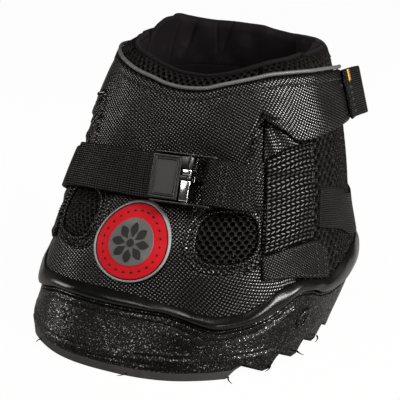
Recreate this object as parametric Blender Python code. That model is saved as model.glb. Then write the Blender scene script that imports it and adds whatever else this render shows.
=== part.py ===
"""Horse hoof boot: a moulded cup sole, a padded textile upper, a wrap shield and a strap with a lever.

The boot stands on the floor at z = 0 with its toe towards -Y and its heel towards +Y. Every soft
piece lies in a layer of one skin, a surface given by an angle round the boot and a level above the floor:
0 degrees is the toe, 90 degrees the +X side and 180 degrees the heel. The buckle is built flat in its own
frame and laid on that skin.
"""

from math import asin, ceil, cos, degrees, hypot, pi, radians, sin

import bpy
import bmesh
import numpy as np
from mathutils import Matrix

# Overall sizes in metres
BOOT_HEIGHT = 0.140
TOE_REACH = 0.0884
HEEL_REACH = 0.0869
HALF_WIDTH = 0.0753

# Form of the skin: level, toe reach, heel reach and half width, as shares of the overall sizes
SECTION_SHARES = (
    (0.000, 1.000, 0.742, 0.948),
    (0.207, 0.774, 1.000, 1.000),
    (0.393, 0.614, 0.967, 0.932),
    (0.571, 0.397, 0.949, 0.874),
    (0.750, 0.286, 0.954, 0.798),
    (0.893, 0.180, 0.953, 0.708),
    (1.036, 0.078, 0.947, 0.616),
)
MIDDLE_SHARE = 0.52
SQUARENESS = 2.44
SHARP_ANGLE = 35.0
ANGLE_STEP = 180 / 27
ROW_HEIGHT = 0.0080
BASE_ROW_HEIGHT = 0.0125
LINING_ROW_HEIGHT = 0.0170
FOOTBED_EASE = 0.0016

# Fits
GAP = 0.0003
SEAM = 0.0004
OVERRUN = 0.004

# Cup sole
CUP_WALL = 0.0048
FLOOR_THICKNESS = 0.0105
FOOT_BEVEL_HEIGHT = 0.0055
FOOT_BEVEL_DEPTH = 0.0035
FOOT_BEVEL_SHARES = ((0, 1), (30, 1), (62, 0), (180, 0))
WALL_LIP_DROP = 0.0012
NOTCH_DEPTH = 0.0060
NOTCH_PITCH = 0.0213
NOTCH_FLAT = 0.0055
NOTCH_COUNT = 4
FIRST_NOTCH_REACH = 0.0645
NOTCH_INNER_REACH = 0.033
FROG_LENGTH = 0.044
FROG_WIDTH = 0.040
FROG_DEPTH = 0.0045
FROG_CENTRE_REACH = 0.030
RING_BOSS_WIDTH = 0.0110
RING_BOSS_HEIGHT = 0.0015
RING_BOSS_ANGLE = 71.0
PIN_BOSS_WIDTH = 0.0052
PIN_BOSS_HEIGHT = 0.0010
PIN_BOSS_ANGLE = 23.0
BOSS_LEVEL_SHARE = 0.128

# Groove between the cup and the rand, and the rand's top: angle and share of the boot's height
GROOVE_SHARES = (
    (-180, 0.225), (-135, 0.225), (-122, 0.215), (-112, 0.170), (-101, 0.160), (-93, 0.163), (-80, 0.184),
    (-72, 0.200), (-65, 0.170), (-52, 0.132), (-44, 0.150), (-36, 0.173), (-29, 0.189), (-18, 0.197),
    (0, 0.200),
    (14, 0.202), (21, 0.192), (28, 0.172), (35, 0.158), (42, 0.162), (49, 0.173), (56, 0.193), (60, 0.211),
    (65, 0.224), (72, 0.214), (80, 0.184), (93, 0.163), (101, 0.160), (112, 0.170), (122, 0.215),
    (135, 0.225), (180, 0.225),
)
RAND_TOP_SHARES = (
    (-180, 0.275), (-120, 0.272), (-108, 0.268), (-95, 0.246), (-84, 0.226), (-72, 0.250), (-62, 0.225),
    (-49, 0.207), (-30, 0.228), (-10, 0.243), (0, 0.243), (14, 0.231), (21, 0.224), (28, 0.208), (34, 0.200),
    (41, 0.203), (48, 0.225), (55, 0.258), (64, 0.268), (75, 0.246), (84, 0.226), (95, 0.246), (108, 0.268),
    (120, 0.272), (180, 0.275),
)
RAND_THICKNESS = 0.0022
RAND_EDGE_THICKNESS = 0.0010
RAND_EDGE_SHARE = RAND_EDGE_THICKNESS / RAND_THICKNESS
RAND_SECTION = ((0.0, 0.75), (0.2, 1.0), (0.6, 0.95), (0.9, 0.70), (1.0, RAND_EDGE_SHARE))

# Boards inside the cup
BOARD_THICKNESS = 0.0020
FOOTBED_THICKNESS = 0.0040

# Upper
UPPER_THICKNESS = 0.0048
LINING_THICKNESS = 0.0030
UPPER_TOP_SHARE = 0.800
TOE_PANEL_ANGLE = 50.0
SIDE_PANEL_END_ANGLE = 130.0
VAMP_END_ANGLE = 64.0
QUARTER_END_ANGLE = 128.0
WINDOW_ANGLE = 35.0
WINDOW_LEVEL_SHARE = 0.434
WINDOW_WIDTH = 0.0310
WINDOW_HEIGHT = 0.0270
WINDOW_SQUARENESS = 2.7
MESH_RECESS = 0.0012

# Pieces sewn on the quarters
PATCH_THICKNESS = 0.0013
SIDE_PANEL_ANGLES = (48.3, 73.5)
SIDE_PANEL_TOP_SHARES = ((46, 0.660), (53, 0.689), (60, 0.702), (66, 0.706), (180, 0.706))
GUSSET_ANGLES = (47.3, 64.5)
ANCHOR_ANGLES = (48.3, 82.0)
ANCHOR_TOP_SHARES = ((48, 0.376), (65, 0.387), (75, 0.377), (80, 0.350), (87, 0.325))
ANCHOR_LOW_SHARES = ((48, 0.300), (60, 0.285), (70, 0.262), (82, 0.225))
ELASTIC_START_ANGLE = 77.5
ELASTIC_WIDTH = 0.0210
ELASTIC_THICKNESS = 0.0017

# Rear collar
COLLAR_THICKNESS = 0.0081
COLLAR_LAP = 0.0041
COLLAR_ROUND = 0.0045
RIM_ROUNDNESS = 0.94
LAP_START_ANGLE = 85.0
REAR_RIM_SHARES = (
    (-180, 0.967), (-162, 0.970), (-147, 0.973), (-133, 0.986), (-125, 0.997), (-114, 1.013), (-101, 1.014),
    (-96, 1.004), (-91, 0.985), (-85, 0.950), (85, 0.945), (95, 0.960), (104, 0.970), (112, 0.974),
    (121, 0.972), (131, 0.966), (150, 0.957), (159, 0.954), (171, 0.959), (180, 0.967),
)

# Front shield, its collar and its piping
SHIELD_THICKNESS = 0.0020
SHIELD_LOW_SHARE = 0.600
FOLD_SHARE = 0.706
SHIELD_END_ANGLE = 46.3
PIPING_SHARES = (
    (-112, 0.882), (-92, 0.909), (-68, 0.929), (-52, 0.935), (-38, 0.927), (-26, 0.914), (-15, 0.904),
    (-5, 0.891), (5, 0.886), (16, 0.890), (28, 0.909), (40, 0.925), (52, 0.935), (68, 0.929), (92, 0.909),
    (112, 0.882),
)
PIPING_RADIUS = 0.0015
FRONT_RIM_SHARES = (
    (-112, 0.966), (-84, 0.975), (-58, 0.977), (-42, 0.973), (-25, 0.962), (-13, 0.948), (1, 0.934),
    (13, 0.933), (25, 0.942), (35, 0.955), (46, 0.969), (58, 0.977), (84, 0.975), (112, 0.966),
)

# Wrap arms
ARM_START_ANGLE = 46.7
ARM_END_ANGLE = 112.0
ARM_LOW_SHARES = (
    (46, 0.788), (50, 0.784), (57, 0.759), (64, 0.721), (71, 0.714), (82, 0.718), (98, 0.714), (115, 0.700),
)
ARM_RISE_ANGLES = (60.0, 80.0)
PAD_THICKNESS = 0.0009
PAD_ANGLES = (88.0, 109.0)
PAD_LEVEL_SHARES = (0.728, 0.800)
TAB_LENGTH = 0.0190
TAB_OVERLAP = 0.0060
TAB_WIDTH = 0.0250
TAB_FOLD_RADIUS = 0.0006
TAB_SEAT = 0.0005
TAB_FLARE = 0.0062
TAB_STATIONS = 5
TAG_LENGTH = 0.0045
TAG_WIDTH = 0.0060
TAG_THICKNESS = 0.0006

# Strap
STRAP_WIDTH = 0.0225
WEBBING = 0.0016
STRAP_CLEARANCE = 0.0009
STRAP_CENTRE_SHARES = (
    (-180, 0.370), (-130, 0.362), (-119, 0.360), (-104, 0.391), (-80, 0.440), (-65, 0.490), (-55, 0.522),
    (-41, 0.561), (-30, 0.579), (-21, 0.587), (-8, 0.595), (7, 0.598), (20, 0.597), (30, 0.590), (38, 0.582),
    (44, 0.575), (60, 0.538), (77, 0.481), (96, 0.428), (104, 0.391),
    (119, 0.360), (130, 0.362), (180, 0.370),
)
STRAP_LEFT_ANGLE = -92.0
STRAP_RIGHT_ANGLE = 44.0
TAIL_END_ANGLE = -46.5
TAIL_FLARE = 0.0012

# Buckle, in its own frame: along the strap, across it and out from the skin
BUCKLE_ANGLE = 15.1
BUCKLE_LENGTH = 0.0300
LEVER_LENGTH = 0.0148
LEVER_THICKNESS = 0.0020
LEVER_PANEL_DEPTH = 0.0005
LEVER_PANEL_MARGIN = 0.0024
LEVER_BEVEL = 0.0006
CHEEK_THICKNESS = 0.0008
LEVER_EASE = 0.0008
BAR_RADIUS = 0.0012
PIN_RADIUS = 0.0012
KNUCKLE_RADIUS = 0.0024
PIN_SETBACK = 0.0030
CLAMP_SETBACK = 0.0040
CROSSBAR_HEIGHT = 0.0018
BLOCK_WIDTH = 0.0048
BLOCK_RISE = 0.0020
BLOCK_CHAMFER = 0.0005
KNUCKLE_SHARES = (-0.96, -0.06, 0.16, 0.42, 0.96)
LEVER_TAIL_RUN = 0.0042
TAIL_DROP_RUN = 0.0100
LYING_LENGTH = 0.0160

# Round patch
BADGE_WIDTH = 0.0412
BADGE_ANGLE = -2.3
BADGE_LEVEL_SHARE = 0.398
BADGE_THICKNESS = 0.0018
BADGE_RELIEF = 0.0005
BADGE_RIM_SHARE = 0.94
BADGE_GROOVE_SHARE = 0.90
BADGE_DISC_SHARE = 0.58
BADGE_EDGE_SHARE = 0.985

# Faces round a circle
FINE_SIDES = 24
COARSE_SIDES = 12
TUBE_SIDES = 8

# Small steps that the directions on the skin are measured over
ANGLE_NUDGE = 0.05
LEVEL_NUDGE = 0.0002

FINISHES = {
    "rubber": ((0.020, 0.020, 0.021), 0.45, 0.0),
    "rand_rubber": ((0.016, 0.016, 0.017), 0.22, 0.0),
    "board": ((0.060, 0.055, 0.050), 0.80, 0.0),
    "weave": ((0.030, 0.029, 0.030), 0.62, 0.0),
    "coarse_weave": ((0.038, 0.037, 0.038), 0.60, 0.0),
    "spacer_mesh": ((0.016, 0.016, 0.017), 0.80, 0.0),
    "lycra": ((0.034, 0.030, 0.036), 0.70, 0.0),
    "webbing": ((0.034, 0.034, 0.035), 0.68, 0.0),
    "piping": ((0.220, 0.215, 0.210), 0.45, 0.0),
    "hook_and_loop": ((0.012, 0.012, 0.012), 0.90, 0.0),
    "tag_thread": ((0.550, 0.420, 0.080), 0.70, 0.0),
    "black_metal": ((0.018, 0.018, 0.020), 0.35, 0.6),
    "polished_steel": ((0.700, 0.700, 0.710), 0.15, 1.0),
    "badge_rubber": ((0.620, 0.060, 0.080), 0.50, 0.0),
}


def clear_scene():
    """Removes what the scene starts with."""
    for obj in list(bpy.data.objects):
        bpy.data.objects.remove(obj)


def finish(name):
    """The material of this name, made once."""
    found = bpy.data.materials.get(name)
    if found:
        return found
    colour, roughness, metallic = FINISHES[name]
    material = bpy.data.materials.new(name)
    material.use_nodes = True
    shader = material.node_tree.nodes["Principled BSDF"]
    shader.inputs["Base Color"].default_value = (*colour, 1.0)
    shader.inputs["Roughness"].default_value = roughness
    shader.inputs["Metallic"].default_value = metallic
    return material


# Curves through stations
def through(stations, values, places):
    """A smooth curve through the values at the stations, which never swings past them."""
    stations = np.asarray(stations, float)
    values = np.asarray(values, float)
    places = np.clip(places, stations[0], stations[-1])
    steps = np.diff(stations)
    slopes = np.diff(values) / steps
    product = slopes[:-1] * slopes[1:]
    total = slopes[:-1] + slopes[1:]
    inner = np.where(product > 0, 2 * product / np.where(product > 0, total, 1), 0)
    bends = np.concatenate([slopes[:1], inner, slopes[-1:]])
    index = np.clip(np.searchsorted(stations, places, side="right") - 1, 0, len(steps) - 1)
    run = steps[index]
    part = (places - stations[index]) / run
    rest = 1 - part
    return (
        values[index] * (1 + 2 * part) * rest**2
        + bends[index] * run * part * rest**2
        + values[index + 1] * part**2 * (3 - 2 * part)
        + bends[index + 1] * run * part**2 * (part - 1)
    )


def line_level(shares):
    """A line round the boot, straight between the stations that all layers share.

    A table with no angles below zero holds for both sides.
    """
    angles, levels = zip(*shares)
    stations = np.arange(-180, 180 + ANGLE_STEP / 2, ANGLE_STEP)
    places = stations if angles[0] < 0 else np.abs(stations)
    heights = BOOT_HEIGHT * through(angles, levels, places)

    def level(angle):
        return np.interp(angle, stations, heights)

    return level


groove_level = line_level(GROOVE_SHARES)
rand_top_level = line_level(RAND_TOP_SHARES)
piping_level = line_level(PIPING_SHARES)
front_rim_level = line_level(FRONT_RIM_SHARES)
rear_rim_level = line_level(REAR_RIM_SHARES)
arm_low_level = line_level(ARM_LOW_SHARES)
strap_level = line_level(STRAP_CENTRE_SHARES)
anchor_top_level = line_level(ANCHOR_TOP_SHARES)
anchor_low_level = line_level(ANCHOR_LOW_SHARES)
side_panel_top_level = line_level(SIDE_PANEL_TOP_SHARES)


def flat_level(share):
    """A level line: the same share of the boot's height at every angle."""

    def level(angle):
        return BOOT_HEIGHT * share + 0 * np.asarray(angle, float)

    return level


def raised(line, rise):
    """A line moved up by a distance."""

    def level(angle):
        return line(angle) + rise

    return level


# The skin
def section(level):
    """Centre, reach to the toe, reach to the heel and half width of the outline at a level."""
    places = np.asarray(level, float) / BOOT_HEIGHT
    stations, toes, heels, widths = zip(*SECTION_SHARES)
    toe = -TOE_REACH * through(stations, toes, places)
    heel = HEEL_REACH * through(stations, heels, places)
    half_width = HALF_WIDTH * through(stations, widths, places)
    centre = toe + (heel - toe) * MIDDLE_SHARE
    return centre, centre - toe, heel - centre, half_width


def skin(angle, level, out=0.0):
    """Points on the skin, moved out square to the level outline: a rounded oblong of two halves."""
    angle, level, out = np.broadcast_arrays(
        np.asarray(angle, float), np.asarray(level, float), np.asarray(out, float)
    )
    centre, front, back, side = section(level)
    across = np.sin(np.radians(angle))
    along = -np.cos(np.radians(angle))
    reach = np.where(along < 0, front, back)
    powers = np.abs(across / side) ** SQUARENESS + np.abs(along / reach) ** SQUARENESS
    stretch = powers ** (-1 / SQUARENESS)
    x = stretch * across
    y = stretch * along
    pull_x = np.sign(x) * np.abs(x / side) ** (SQUARENESS - 1) / side
    pull_y = np.sign(y) * np.abs(y / reach) ** (SQUARENESS - 1) / reach
    length = np.hypot(pull_x, pull_y)
    return np.stack([x + out * pull_x / length, y + centre + out * pull_y / length, level], -1)


def skin_directions(angle, level):
    """Unit vectors along the outline, up the skin and out, with metres per degree and level per metre."""
    along = (skin(angle + ANGLE_NUDGE, level) - skin(angle - ANGLE_NUDGE, level)) / (2 * ANGLE_NUDGE)
    up = (skin(angle, level + LEVEL_NUDGE) - skin(angle, level - LEVEL_NUDGE)) / (2 * LEVEL_NUDGE)
    per_degree = np.linalg.norm(along, axis=-1)
    climb = 1 / np.linalg.norm(up, axis=-1)
    along = along / per_degree[..., None]
    up = up * climb[..., None]
    outward = np.cross(along, up)
    outward = outward / np.linalg.norm(outward, axis=-1)[..., None]
    return along, up, outward, per_degree, climb


def skin_frame(angle, level, out=0.0, upright=False):
    """A matrix whose axes run along the outline, up the skin and out of it, at one place on the skin.

    Its first axis lies in the level outline, or its second along the line of equal angle if upright.
    """
    along, up, outward, _, _ = skin_directions(np.asarray(angle, float), np.asarray(level, float))
    if upright:
        along = np.cross(up, outward)
    else:
        up = np.cross(outward, along)
    place = skin(angle, level, out)
    matrix = Matrix.Identity(4)
    for column, vector in enumerate((along, up, outward, place)):
        for row in range(3):
            matrix[row][column] = vector[row]
    return matrix


# Meshes
def add_object(name, points, faces, material):
    """A mesh object with its faces turned outwards."""
    mesh = bpy.data.meshes.new(name)
    mesh.from_pydata([tuple(point) for point in points], [], faces)
    shape = bmesh.new()
    shape.from_mesh(mesh)
    bmesh.ops.recalc_face_normals(shape, faces=shape.faces)
    shape.to_mesh(mesh)
    shape.free()
    mesh.materials.append(finish(material))
    mesh.shade_smooth()
    mesh.set_sharp_from_angle(angle=radians(SHARP_ANGLE))
    obj = bpy.data.objects.new(name, mesh)
    bpy.context.scene.collection.objects.link(obj)
    return obj


def grid_faces(rows, columns, start, loop):
    """Quads of a grid whose points run row by row from the start."""
    width = columns if loop else columns - 1
    faces = []
    for row in range(rows - 1):
        for column in range(width):
            right = (column + 1) % columns
            low = start + row * columns
            high = low + columns
            faces.append((low + column, low + right, high + right, high + column))
    return faces


def two_sided(name, outer, inner, material, loop=False):
    """A closed solid between two like grids of points."""
    rows, columns = outer.shape[:2]
    half = rows * columns
    points = np.concatenate([outer.reshape(-1, 3), inner.reshape(-1, 3)])
    faces = grid_faces(rows, columns, 0, loop)
    faces += [tuple(reversed(face)) for face in grid_faces(rows, columns, half, loop)]
    width = columns if loop else columns - 1
    for row in (0, rows - 1):
        for column in range(width):
            here = row * columns + column
            there = row * columns + (column + 1) % columns
            edge = (here, here + half, there + half, there)
            faces.append(edge if row == 0 else tuple(reversed(edge)))
    if not loop:
        for column in (0, columns - 1):
            for row in range(rows - 1):
                here = row * columns + column
                there = here + columns
                edge = (here, there, there + half, here + half)
                faces.append(edge if column == 0 else tuple(reversed(edge)))
    return add_object(name, points, faces, material)


def angles_between(first, last):
    """The ends and the whole steps between them, so that neighbouring layers share their stations."""
    inner = np.arange(ceil(first / ANGLE_STEP) * ANGLE_STEP, last, ANGLE_STEP)
    inner = inner[(inner > first + ANGLE_STEP / 8) & (inner < last - ANGLE_STEP / 8)]
    return np.concatenate([[first], inner, [last]])


def row_shares(low, high, row_height):
    """Even shares of the height, close enough to follow the skin."""
    count = max(1, ceil(float(np.max(high - low)) / row_height))
    return np.linspace(0, 1, count + 1)


def layer(name, angles, low, high, inner, outer, material, shares=None, loop=False, row_height=ROW_HEIGHT):
    """A piece of one layer, between two lines and two distances from the skin.

    A distance is a number, or a function of the angle and the share of the height.
    """
    low = low(angles)
    high = high(angles)
    shares = row_shares(low, high, row_height) if shares is None else np.asarray(shares, float)
    levels = low + (high - low) * shares[:, None]
    angle_grid = np.broadcast_to(angles, levels.shape)
    share_grid = np.broadcast_to(shares[:, None], levels.shape)
    sides = []
    for distance in (outer, inner):
        out = distance(angle_grid, share_grid) if callable(distance) else distance
        sides.append(skin(angle_grid, levels, out))
    return two_sided(name, sides[0], sides[1], material, loop)


def round_outline(width, height, squareness=2.0, sides=FINE_SIDES):
    """Points of a rounded outline: the offsets along and up from its centre."""
    turn = np.arange(sides) * 2 * pi / sides
    across = np.sign(np.cos(turn)) * np.abs(np.cos(turn)) ** (2 / squareness) * width / 2
    up = np.sign(np.sin(turn)) * np.abs(np.sin(turn)) ** (2 / squareness) * height / 2
    return across, up


def medallion(name, angle, level, outline, rings, under, material):
    """A rounded piece that follows the skin. Each ring is its share of the outline and its distance out."""
    across, up = outline
    sides = len(across)
    _, _, _, per_degree, climb = skin_directions(np.asarray(float(angle)), np.asarray(float(level)))
    shares = [share for share, _ in rings]
    outs = [out for _, out in rings]
    top = [
        skin(angle + share * across / per_degree, level + share * up * climb, out)
        for share, out in zip(shares, outs)
    ]
    low = [skin(angle + share * across / per_degree, level + share * up * climb, under) for share in shares]
    points = np.concatenate(top + low + [skin([angle], [level], outs[-1]), skin([angle], [level], under)])
    count = len(rings)
    faces = grid_faces(count, sides, 0, True)
    faces += [tuple(reversed(face)) for face in grid_faces(count, sides, count * sides, True)]
    centre_top = 2 * count * sides
    for side in range(sides):
        other = (side + 1) % sides
        faces.append((side, other, count * sides + other, count * sides + side))
        inner_top = (count - 1) * sides
        inner_low = (2 * count - 1) * sides
        faces.append((inner_top + side, inner_top + other, centre_top))
        faces.append((inner_low + other, inner_low + side, centre_top + 1))
    return add_object(name, points, faces, material)


def prism(name, outline, start, end, material):
    """An outline in the along and out directions, drawn across from start to end."""
    count = len(outline)
    points = [(along, start, out) for along, out in outline] + [(along, end, out) for along, out in outline]
    faces = [tuple(range(count)), tuple(reversed(range(count, 2 * count)))]
    faces += [(i, (i + 1) % count, count + (i + 1) % count, count + i) for i in range(count)]
    return add_object(name, points, faces, material)


def box(name, low, high, material):
    """A box between two corners."""
    outline = [(low[0], low[2]), (high[0], low[2]), (high[0], high[2]), (low[0], high[2])]
    return prism(name, outline, low[1], high[1], material)


def rod(name, centre, radius, start, end, material, sides=COARSE_SIDES):
    """A round bar across the strap."""
    turns = np.arange(sides) * 2 * pi / sides
    outline = [(centre[0] + radius * cos(t), centre[1] + radius * sin(t)) for t in turns]
    return prism(name, outline, start, end, material)


def tube(name, path, radius, material):
    """A round cord along points, with closed ends."""
    path = np.asarray(path, float)
    tangents = np.gradient(path, axis=0)
    tangents /= np.linalg.norm(tangents, axis=1)[:, None]
    side = np.cross(tangents, (0, 0, 1))
    side /= np.linalg.norm(side, axis=1)[:, None]
    up = np.cross(side, tangents)
    turns = np.arange(TUBE_SIDES) * 2 * pi / TUBE_SIDES
    ring = path[:, None] + radius * (
        np.cos(turns)[None, :, None] * side[:, None] + np.sin(turns)[None, :, None] * up[:, None]
    )
    faces = grid_faces(len(path), TUBE_SIDES, 0, True)
    last = (len(path) - 1) * TUBE_SIDES
    faces.append(tuple(reversed(range(TUBE_SIDES))))
    faces.append(tuple(range(last, last + TUBE_SIDES)))
    return add_object(name, ring.reshape(-1, 3), faces, material)


def combine(obj, other, operation):
    """Adds a Boolean and hides the other shape, which is a helper."""
    modifier = obj.modifiers.new(other.name, "BOOLEAN")
    modifier.operation = operation
    modifier.solver = "EXACT"
    modifier.object = other
    other.hide_render = True
    other.display_type = "WIRE"
    return obj


def place(obj, matrix):
    """Moves an object and keeps its shape."""
    obj.matrix_world = matrix @ obj.matrix_world
    return obj


# Cup sole
def foot_bevel(angle):
    """Share of the bevel under the wall: whole at the toe, none from the side back."""
    stations, shares = zip(*FOOT_BEVEL_SHARES)
    return through(stations, shares, np.abs(angle))


def make_outsole():
    """The cup: a beveled foot, a leaning wall up to the groove, an inner wall, a floor and its tread."""
    angles = np.arange(0, 360, ANGLE_STEP)
    turned = np.where(angles > 180, angles - 360, angles)
    groove = groove_level(turned)
    bevel = foot_bevel(turned)
    foot = FOOT_BEVEL_HEIGHT * np.maximum(bevel, GAP / FOOT_BEVEL_HEIGHT)
    rings = [skin(turned, 0, -FOOT_BEVEL_DEPTH * bevel), skin(turned, foot, 0)]
    for share in (0.5, 1.0):
        rings.append(skin(turned, foot + (groove - WALL_LIP_DROP - foot) * share, 0))
    rings.append(skin(turned, groove, -WALL_LIP_DROP))
    rings.append(skin(turned, groove, -CUP_WALL))
    rings.append(skin(turned, (groove + FLOOR_THICKNESS) / 2, -CUP_WALL))
    rings.append(skin(turned, FLOOR_THICKNESS, -CUP_WALL))
    columns = len(angles)
    faces = grid_faces(len(rings), columns, 0, True)
    last = (len(rings) - 1) * columns
    faces.append(tuple(reversed(range(columns))))
    faces.append(tuple(range(last, last + columns)))
    outsole = add_object("outsole", np.concatenate(rings), faces, "rubber")
    for side in (-1, 1):
        for number in range(NOTCH_COUNT):
            combine(outsole, make_notch(side, number), "DIFFERENCE")
        for boss in make_bosses(side):
            combine(outsole, boss, "UNION")
    combine(outsole, make_frog_recess(), "DIFFERENCE")
    return outsole


def make_notch(side, number):
    """One side notch of the tread, steep towards the toe and ramped towards the heel."""
    start = -FIRST_NOTCH_REACH + number * NOTCH_PITCH
    width = NOTCH_PITCH - NOTCH_FLAT
    profile_shares = ((0.0, 0.0), (0.10, 0.60), (0.26, 0.92), (0.45, 1.0), (0.72, 0.60), (1.0, 0.0))
    outline = [(start + share * width, NOTCH_DEPTH * deep) for share, deep in profile_shares]
    outline = [(start, -OVERRUN)] + outline + [(start + width, -OVERRUN)]
    cutter = prism(f"notch_{number}_{side}", outline, NOTCH_INNER_REACH, HALF_WIDTH + OVERRUN, "rubber")
    turn = Matrix(((0, side, 0, 0), (1, 0, 0, 0), (0, 0, 1, 0), (0, 0, 0, 1)))
    cutter.data.transform(turn)
    if side > 0:
        cutter.data.flip_normals()
    return cutter


def make_frog_recess():
    """The egg-shaped hollow under the frog, wide towards the heel."""
    turns = np.arange(FINE_SIDES) * 2 * pi / FINE_SIDES
    narrowing_share = 0.30
    x = np.cos(turns) * FROG_WIDTH / 2 * (1 + narrowing_share * np.sin(turns))
    y = FROG_CENTRE_REACH + np.sin(turns) * FROG_LENGTH / 2
    rings = [np.stack([x, y, 0 * x + level], -1) for level in (-OVERRUN, FROG_DEPTH)]
    faces = grid_faces(2, FINE_SIDES, 0, True)
    faces.append(tuple(reversed(range(FINE_SIDES))))
    faces.append(tuple(range(FINE_SIDES, 2 * FINE_SIDES)))
    return add_object("frog_recess", np.concatenate(rings), faces, "rubber")


def make_bosses(side):
    """The ring boss and the small pin boss moulded on the wall."""
    level = BOOT_HEIGHT * BOSS_LEVEL_SHARE
    ring_outline = round_outline(RING_BOSS_WIDTH, RING_BOSS_WIDTH, sides=FINE_SIDES)
    rim_share = 0.72
    dimple_share = 0.52
    ring = medallion(
        f"ring_boss_{side}",
        side * RING_BOSS_ANGLE,
        level,
        ring_outline,
        ((1.0, RING_BOSS_HEIGHT / 2), (rim_share, RING_BOSS_HEIGHT), (dimple_share, RING_BOSS_HEIGHT / 2)),
        -CUP_WALL / 2,
        "rubber",
    )
    pin_outline = round_outline(PIN_BOSS_WIDTH, PIN_BOSS_WIDTH, sides=COARSE_SIDES)
    pin = medallion(
        f"pin_boss_{side}",
        side * PIN_BOSS_ANGLE,
        level,
        pin_outline,
        ((1.0, PIN_BOSS_HEIGHT / 2), (rim_share, PIN_BOSS_HEIGHT)),
        -CUP_WALL / 2,
        "rubber",
    )
    return ring, pin


def make_rand():
    """The glossy band above the groove, which waves at each quarter and rises to a lip at the heel."""
    angles = np.arange(-180 + ANGLE_STEP, 180 + ANGLE_STEP / 2, ANGLE_STEP)
    shares, thick_shares = zip(*RAND_SECTION)

    def outer(angle, share):
        return GAP + RAND_THICKNESS * np.interp(share, shares, thick_shares)

    low = raised(groove_level, GAP)
    return layer("rand", angles, low, rand_top_level, GAP, outer, "rand_rubber", shares, True)


def make_plate(name, level, thickness, inset, material):
    """A flat board that follows the outline at its own level."""
    angles = np.arange(0, 360, ANGLE_STEP)
    rings = [skin(angles, height, -inset) for height in (level, level + thickness)]
    columns = len(angles)
    faces = grid_faces(2, columns, 0, True)
    faces.append(tuple(reversed(range(columns))))
    faces.append(tuple(range(columns, 2 * columns)))
    return add_object(name, np.concatenate(rings), faces, material)


BOARD_LEVEL = FLOOR_THICKNESS + GAP
LINING_LEVEL = BOARD_LEVEL + BOARD_THICKNESS + GAP
LINING_OUTER = CUP_WALL + 3 * GAP
LINING_INNER = LINING_OUTER + LINING_THICKNESS


def make_boards():
    """The lasting board on the cup's floor and the footbed inside the lining."""
    make_plate("lasting_board", BOARD_LEVEL, BOARD_THICKNESS, CUP_WALL + GAP, "board")
    make_plate("footbed", LINING_LEVEL, FOOTBED_THICKNESS, LINING_INNER + FOOTBED_EASE, "lycra")


# Upper
def seam_angle(width):
    """The angle that a gap of this width takes at the boot's side."""
    return width / HALF_WIDTH * 180 / pi


def make_lining():
    """The lining, in four panels from the board to under the collars."""
    half_seam = seam_angle(SEAM) / 2
    spans = {
        "lining_toe": (-TOE_PANEL_ANGLE, TOE_PANEL_ANGLE),
        "lining_right": (TOE_PANEL_ANGLE, SIDE_PANEL_END_ANGLE),
        "lining_heel": (SIDE_PANEL_END_ANGLE, 360 - SIDE_PANEL_END_ANGLE),
        "lining_left": (-SIDE_PANEL_END_ANGLE, -TOE_PANEL_ANGLE),
    }

    def low(angle):
        return LINING_LEVEL + 0 * angle

    for name, (first, last) in spans.items():
        angles = angles_between(first + half_seam, last - half_seam)
        top = flat_level(UPPER_TOP_SHARE)
        layer(name, angles, low, top, -LINING_INNER, -LINING_OUTER, "lycra", row_height=LINING_ROW_HEIGHT)


def window_place(side):
    """Angle, level and outline of a window in the vamp."""
    outline = round_outline(WINDOW_WIDTH, WINDOW_HEIGHT, WINDOW_SQUARENESS)
    return side * WINDOW_ANGLE, BOOT_HEIGHT * WINDOW_LEVEL_SHARE, outline


def turned_line(line):
    """A line that also takes angles past 180 degrees."""

    def level(angle):
        return line(np.where(np.asarray(angle) > 180, np.asarray(angle) - 360, angle))

    return level


def make_upper():
    """The vamp with its two windows, the mesh quarters and the heel panel."""
    half_seam = seam_angle(SEAM) / 2
    low = turned_line(raised(groove_level, GAP))

    def panel(name, first, last, material):
        angles = angles_between(first + half_seam, last - half_seam)
        top = flat_level(UPPER_TOP_SHARE)
        return layer(name, angles, low, top, -UPPER_THICKNESS, 0, material, row_height=BASE_ROW_HEIGHT)

    vamp = panel("vamp", -VAMP_END_ANGLE, VAMP_END_ANGLE, "weave")
    for side, name in ((1, "right"), (-1, "left")):
        angle, level, (across, up) = window_place(side)
        under = -UPPER_THICKNESS - OVERRUN / 4
        cutter = medallion(f"window_{name}", angle, level, (across, up), ((1.0, OVERRUN),), under, "weave")
        combine(vamp, cutter, "DIFFERENCE")
        fill_share = 1 - 2 * SEAM / WINDOW_HEIGHT
        medallion(
            f"window_mesh_{name}",
            angle,
            level,
            (across * fill_share, up * fill_share),
            ((1.0, -MESH_RECESS), (0.6, -MESH_RECESS)),
            -UPPER_THICKNESS,
            "spacer_mesh",
        )
        first, last = sorted((side * VAMP_END_ANGLE, side * QUARTER_END_ANGLE))
        panel(f"quarter_mesh_{name}", first, last, "spacer_mesh")
    panel("heel_panel", QUARTER_END_ANGLE, 360 - QUARTER_END_ANGLE, "weave")


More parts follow.
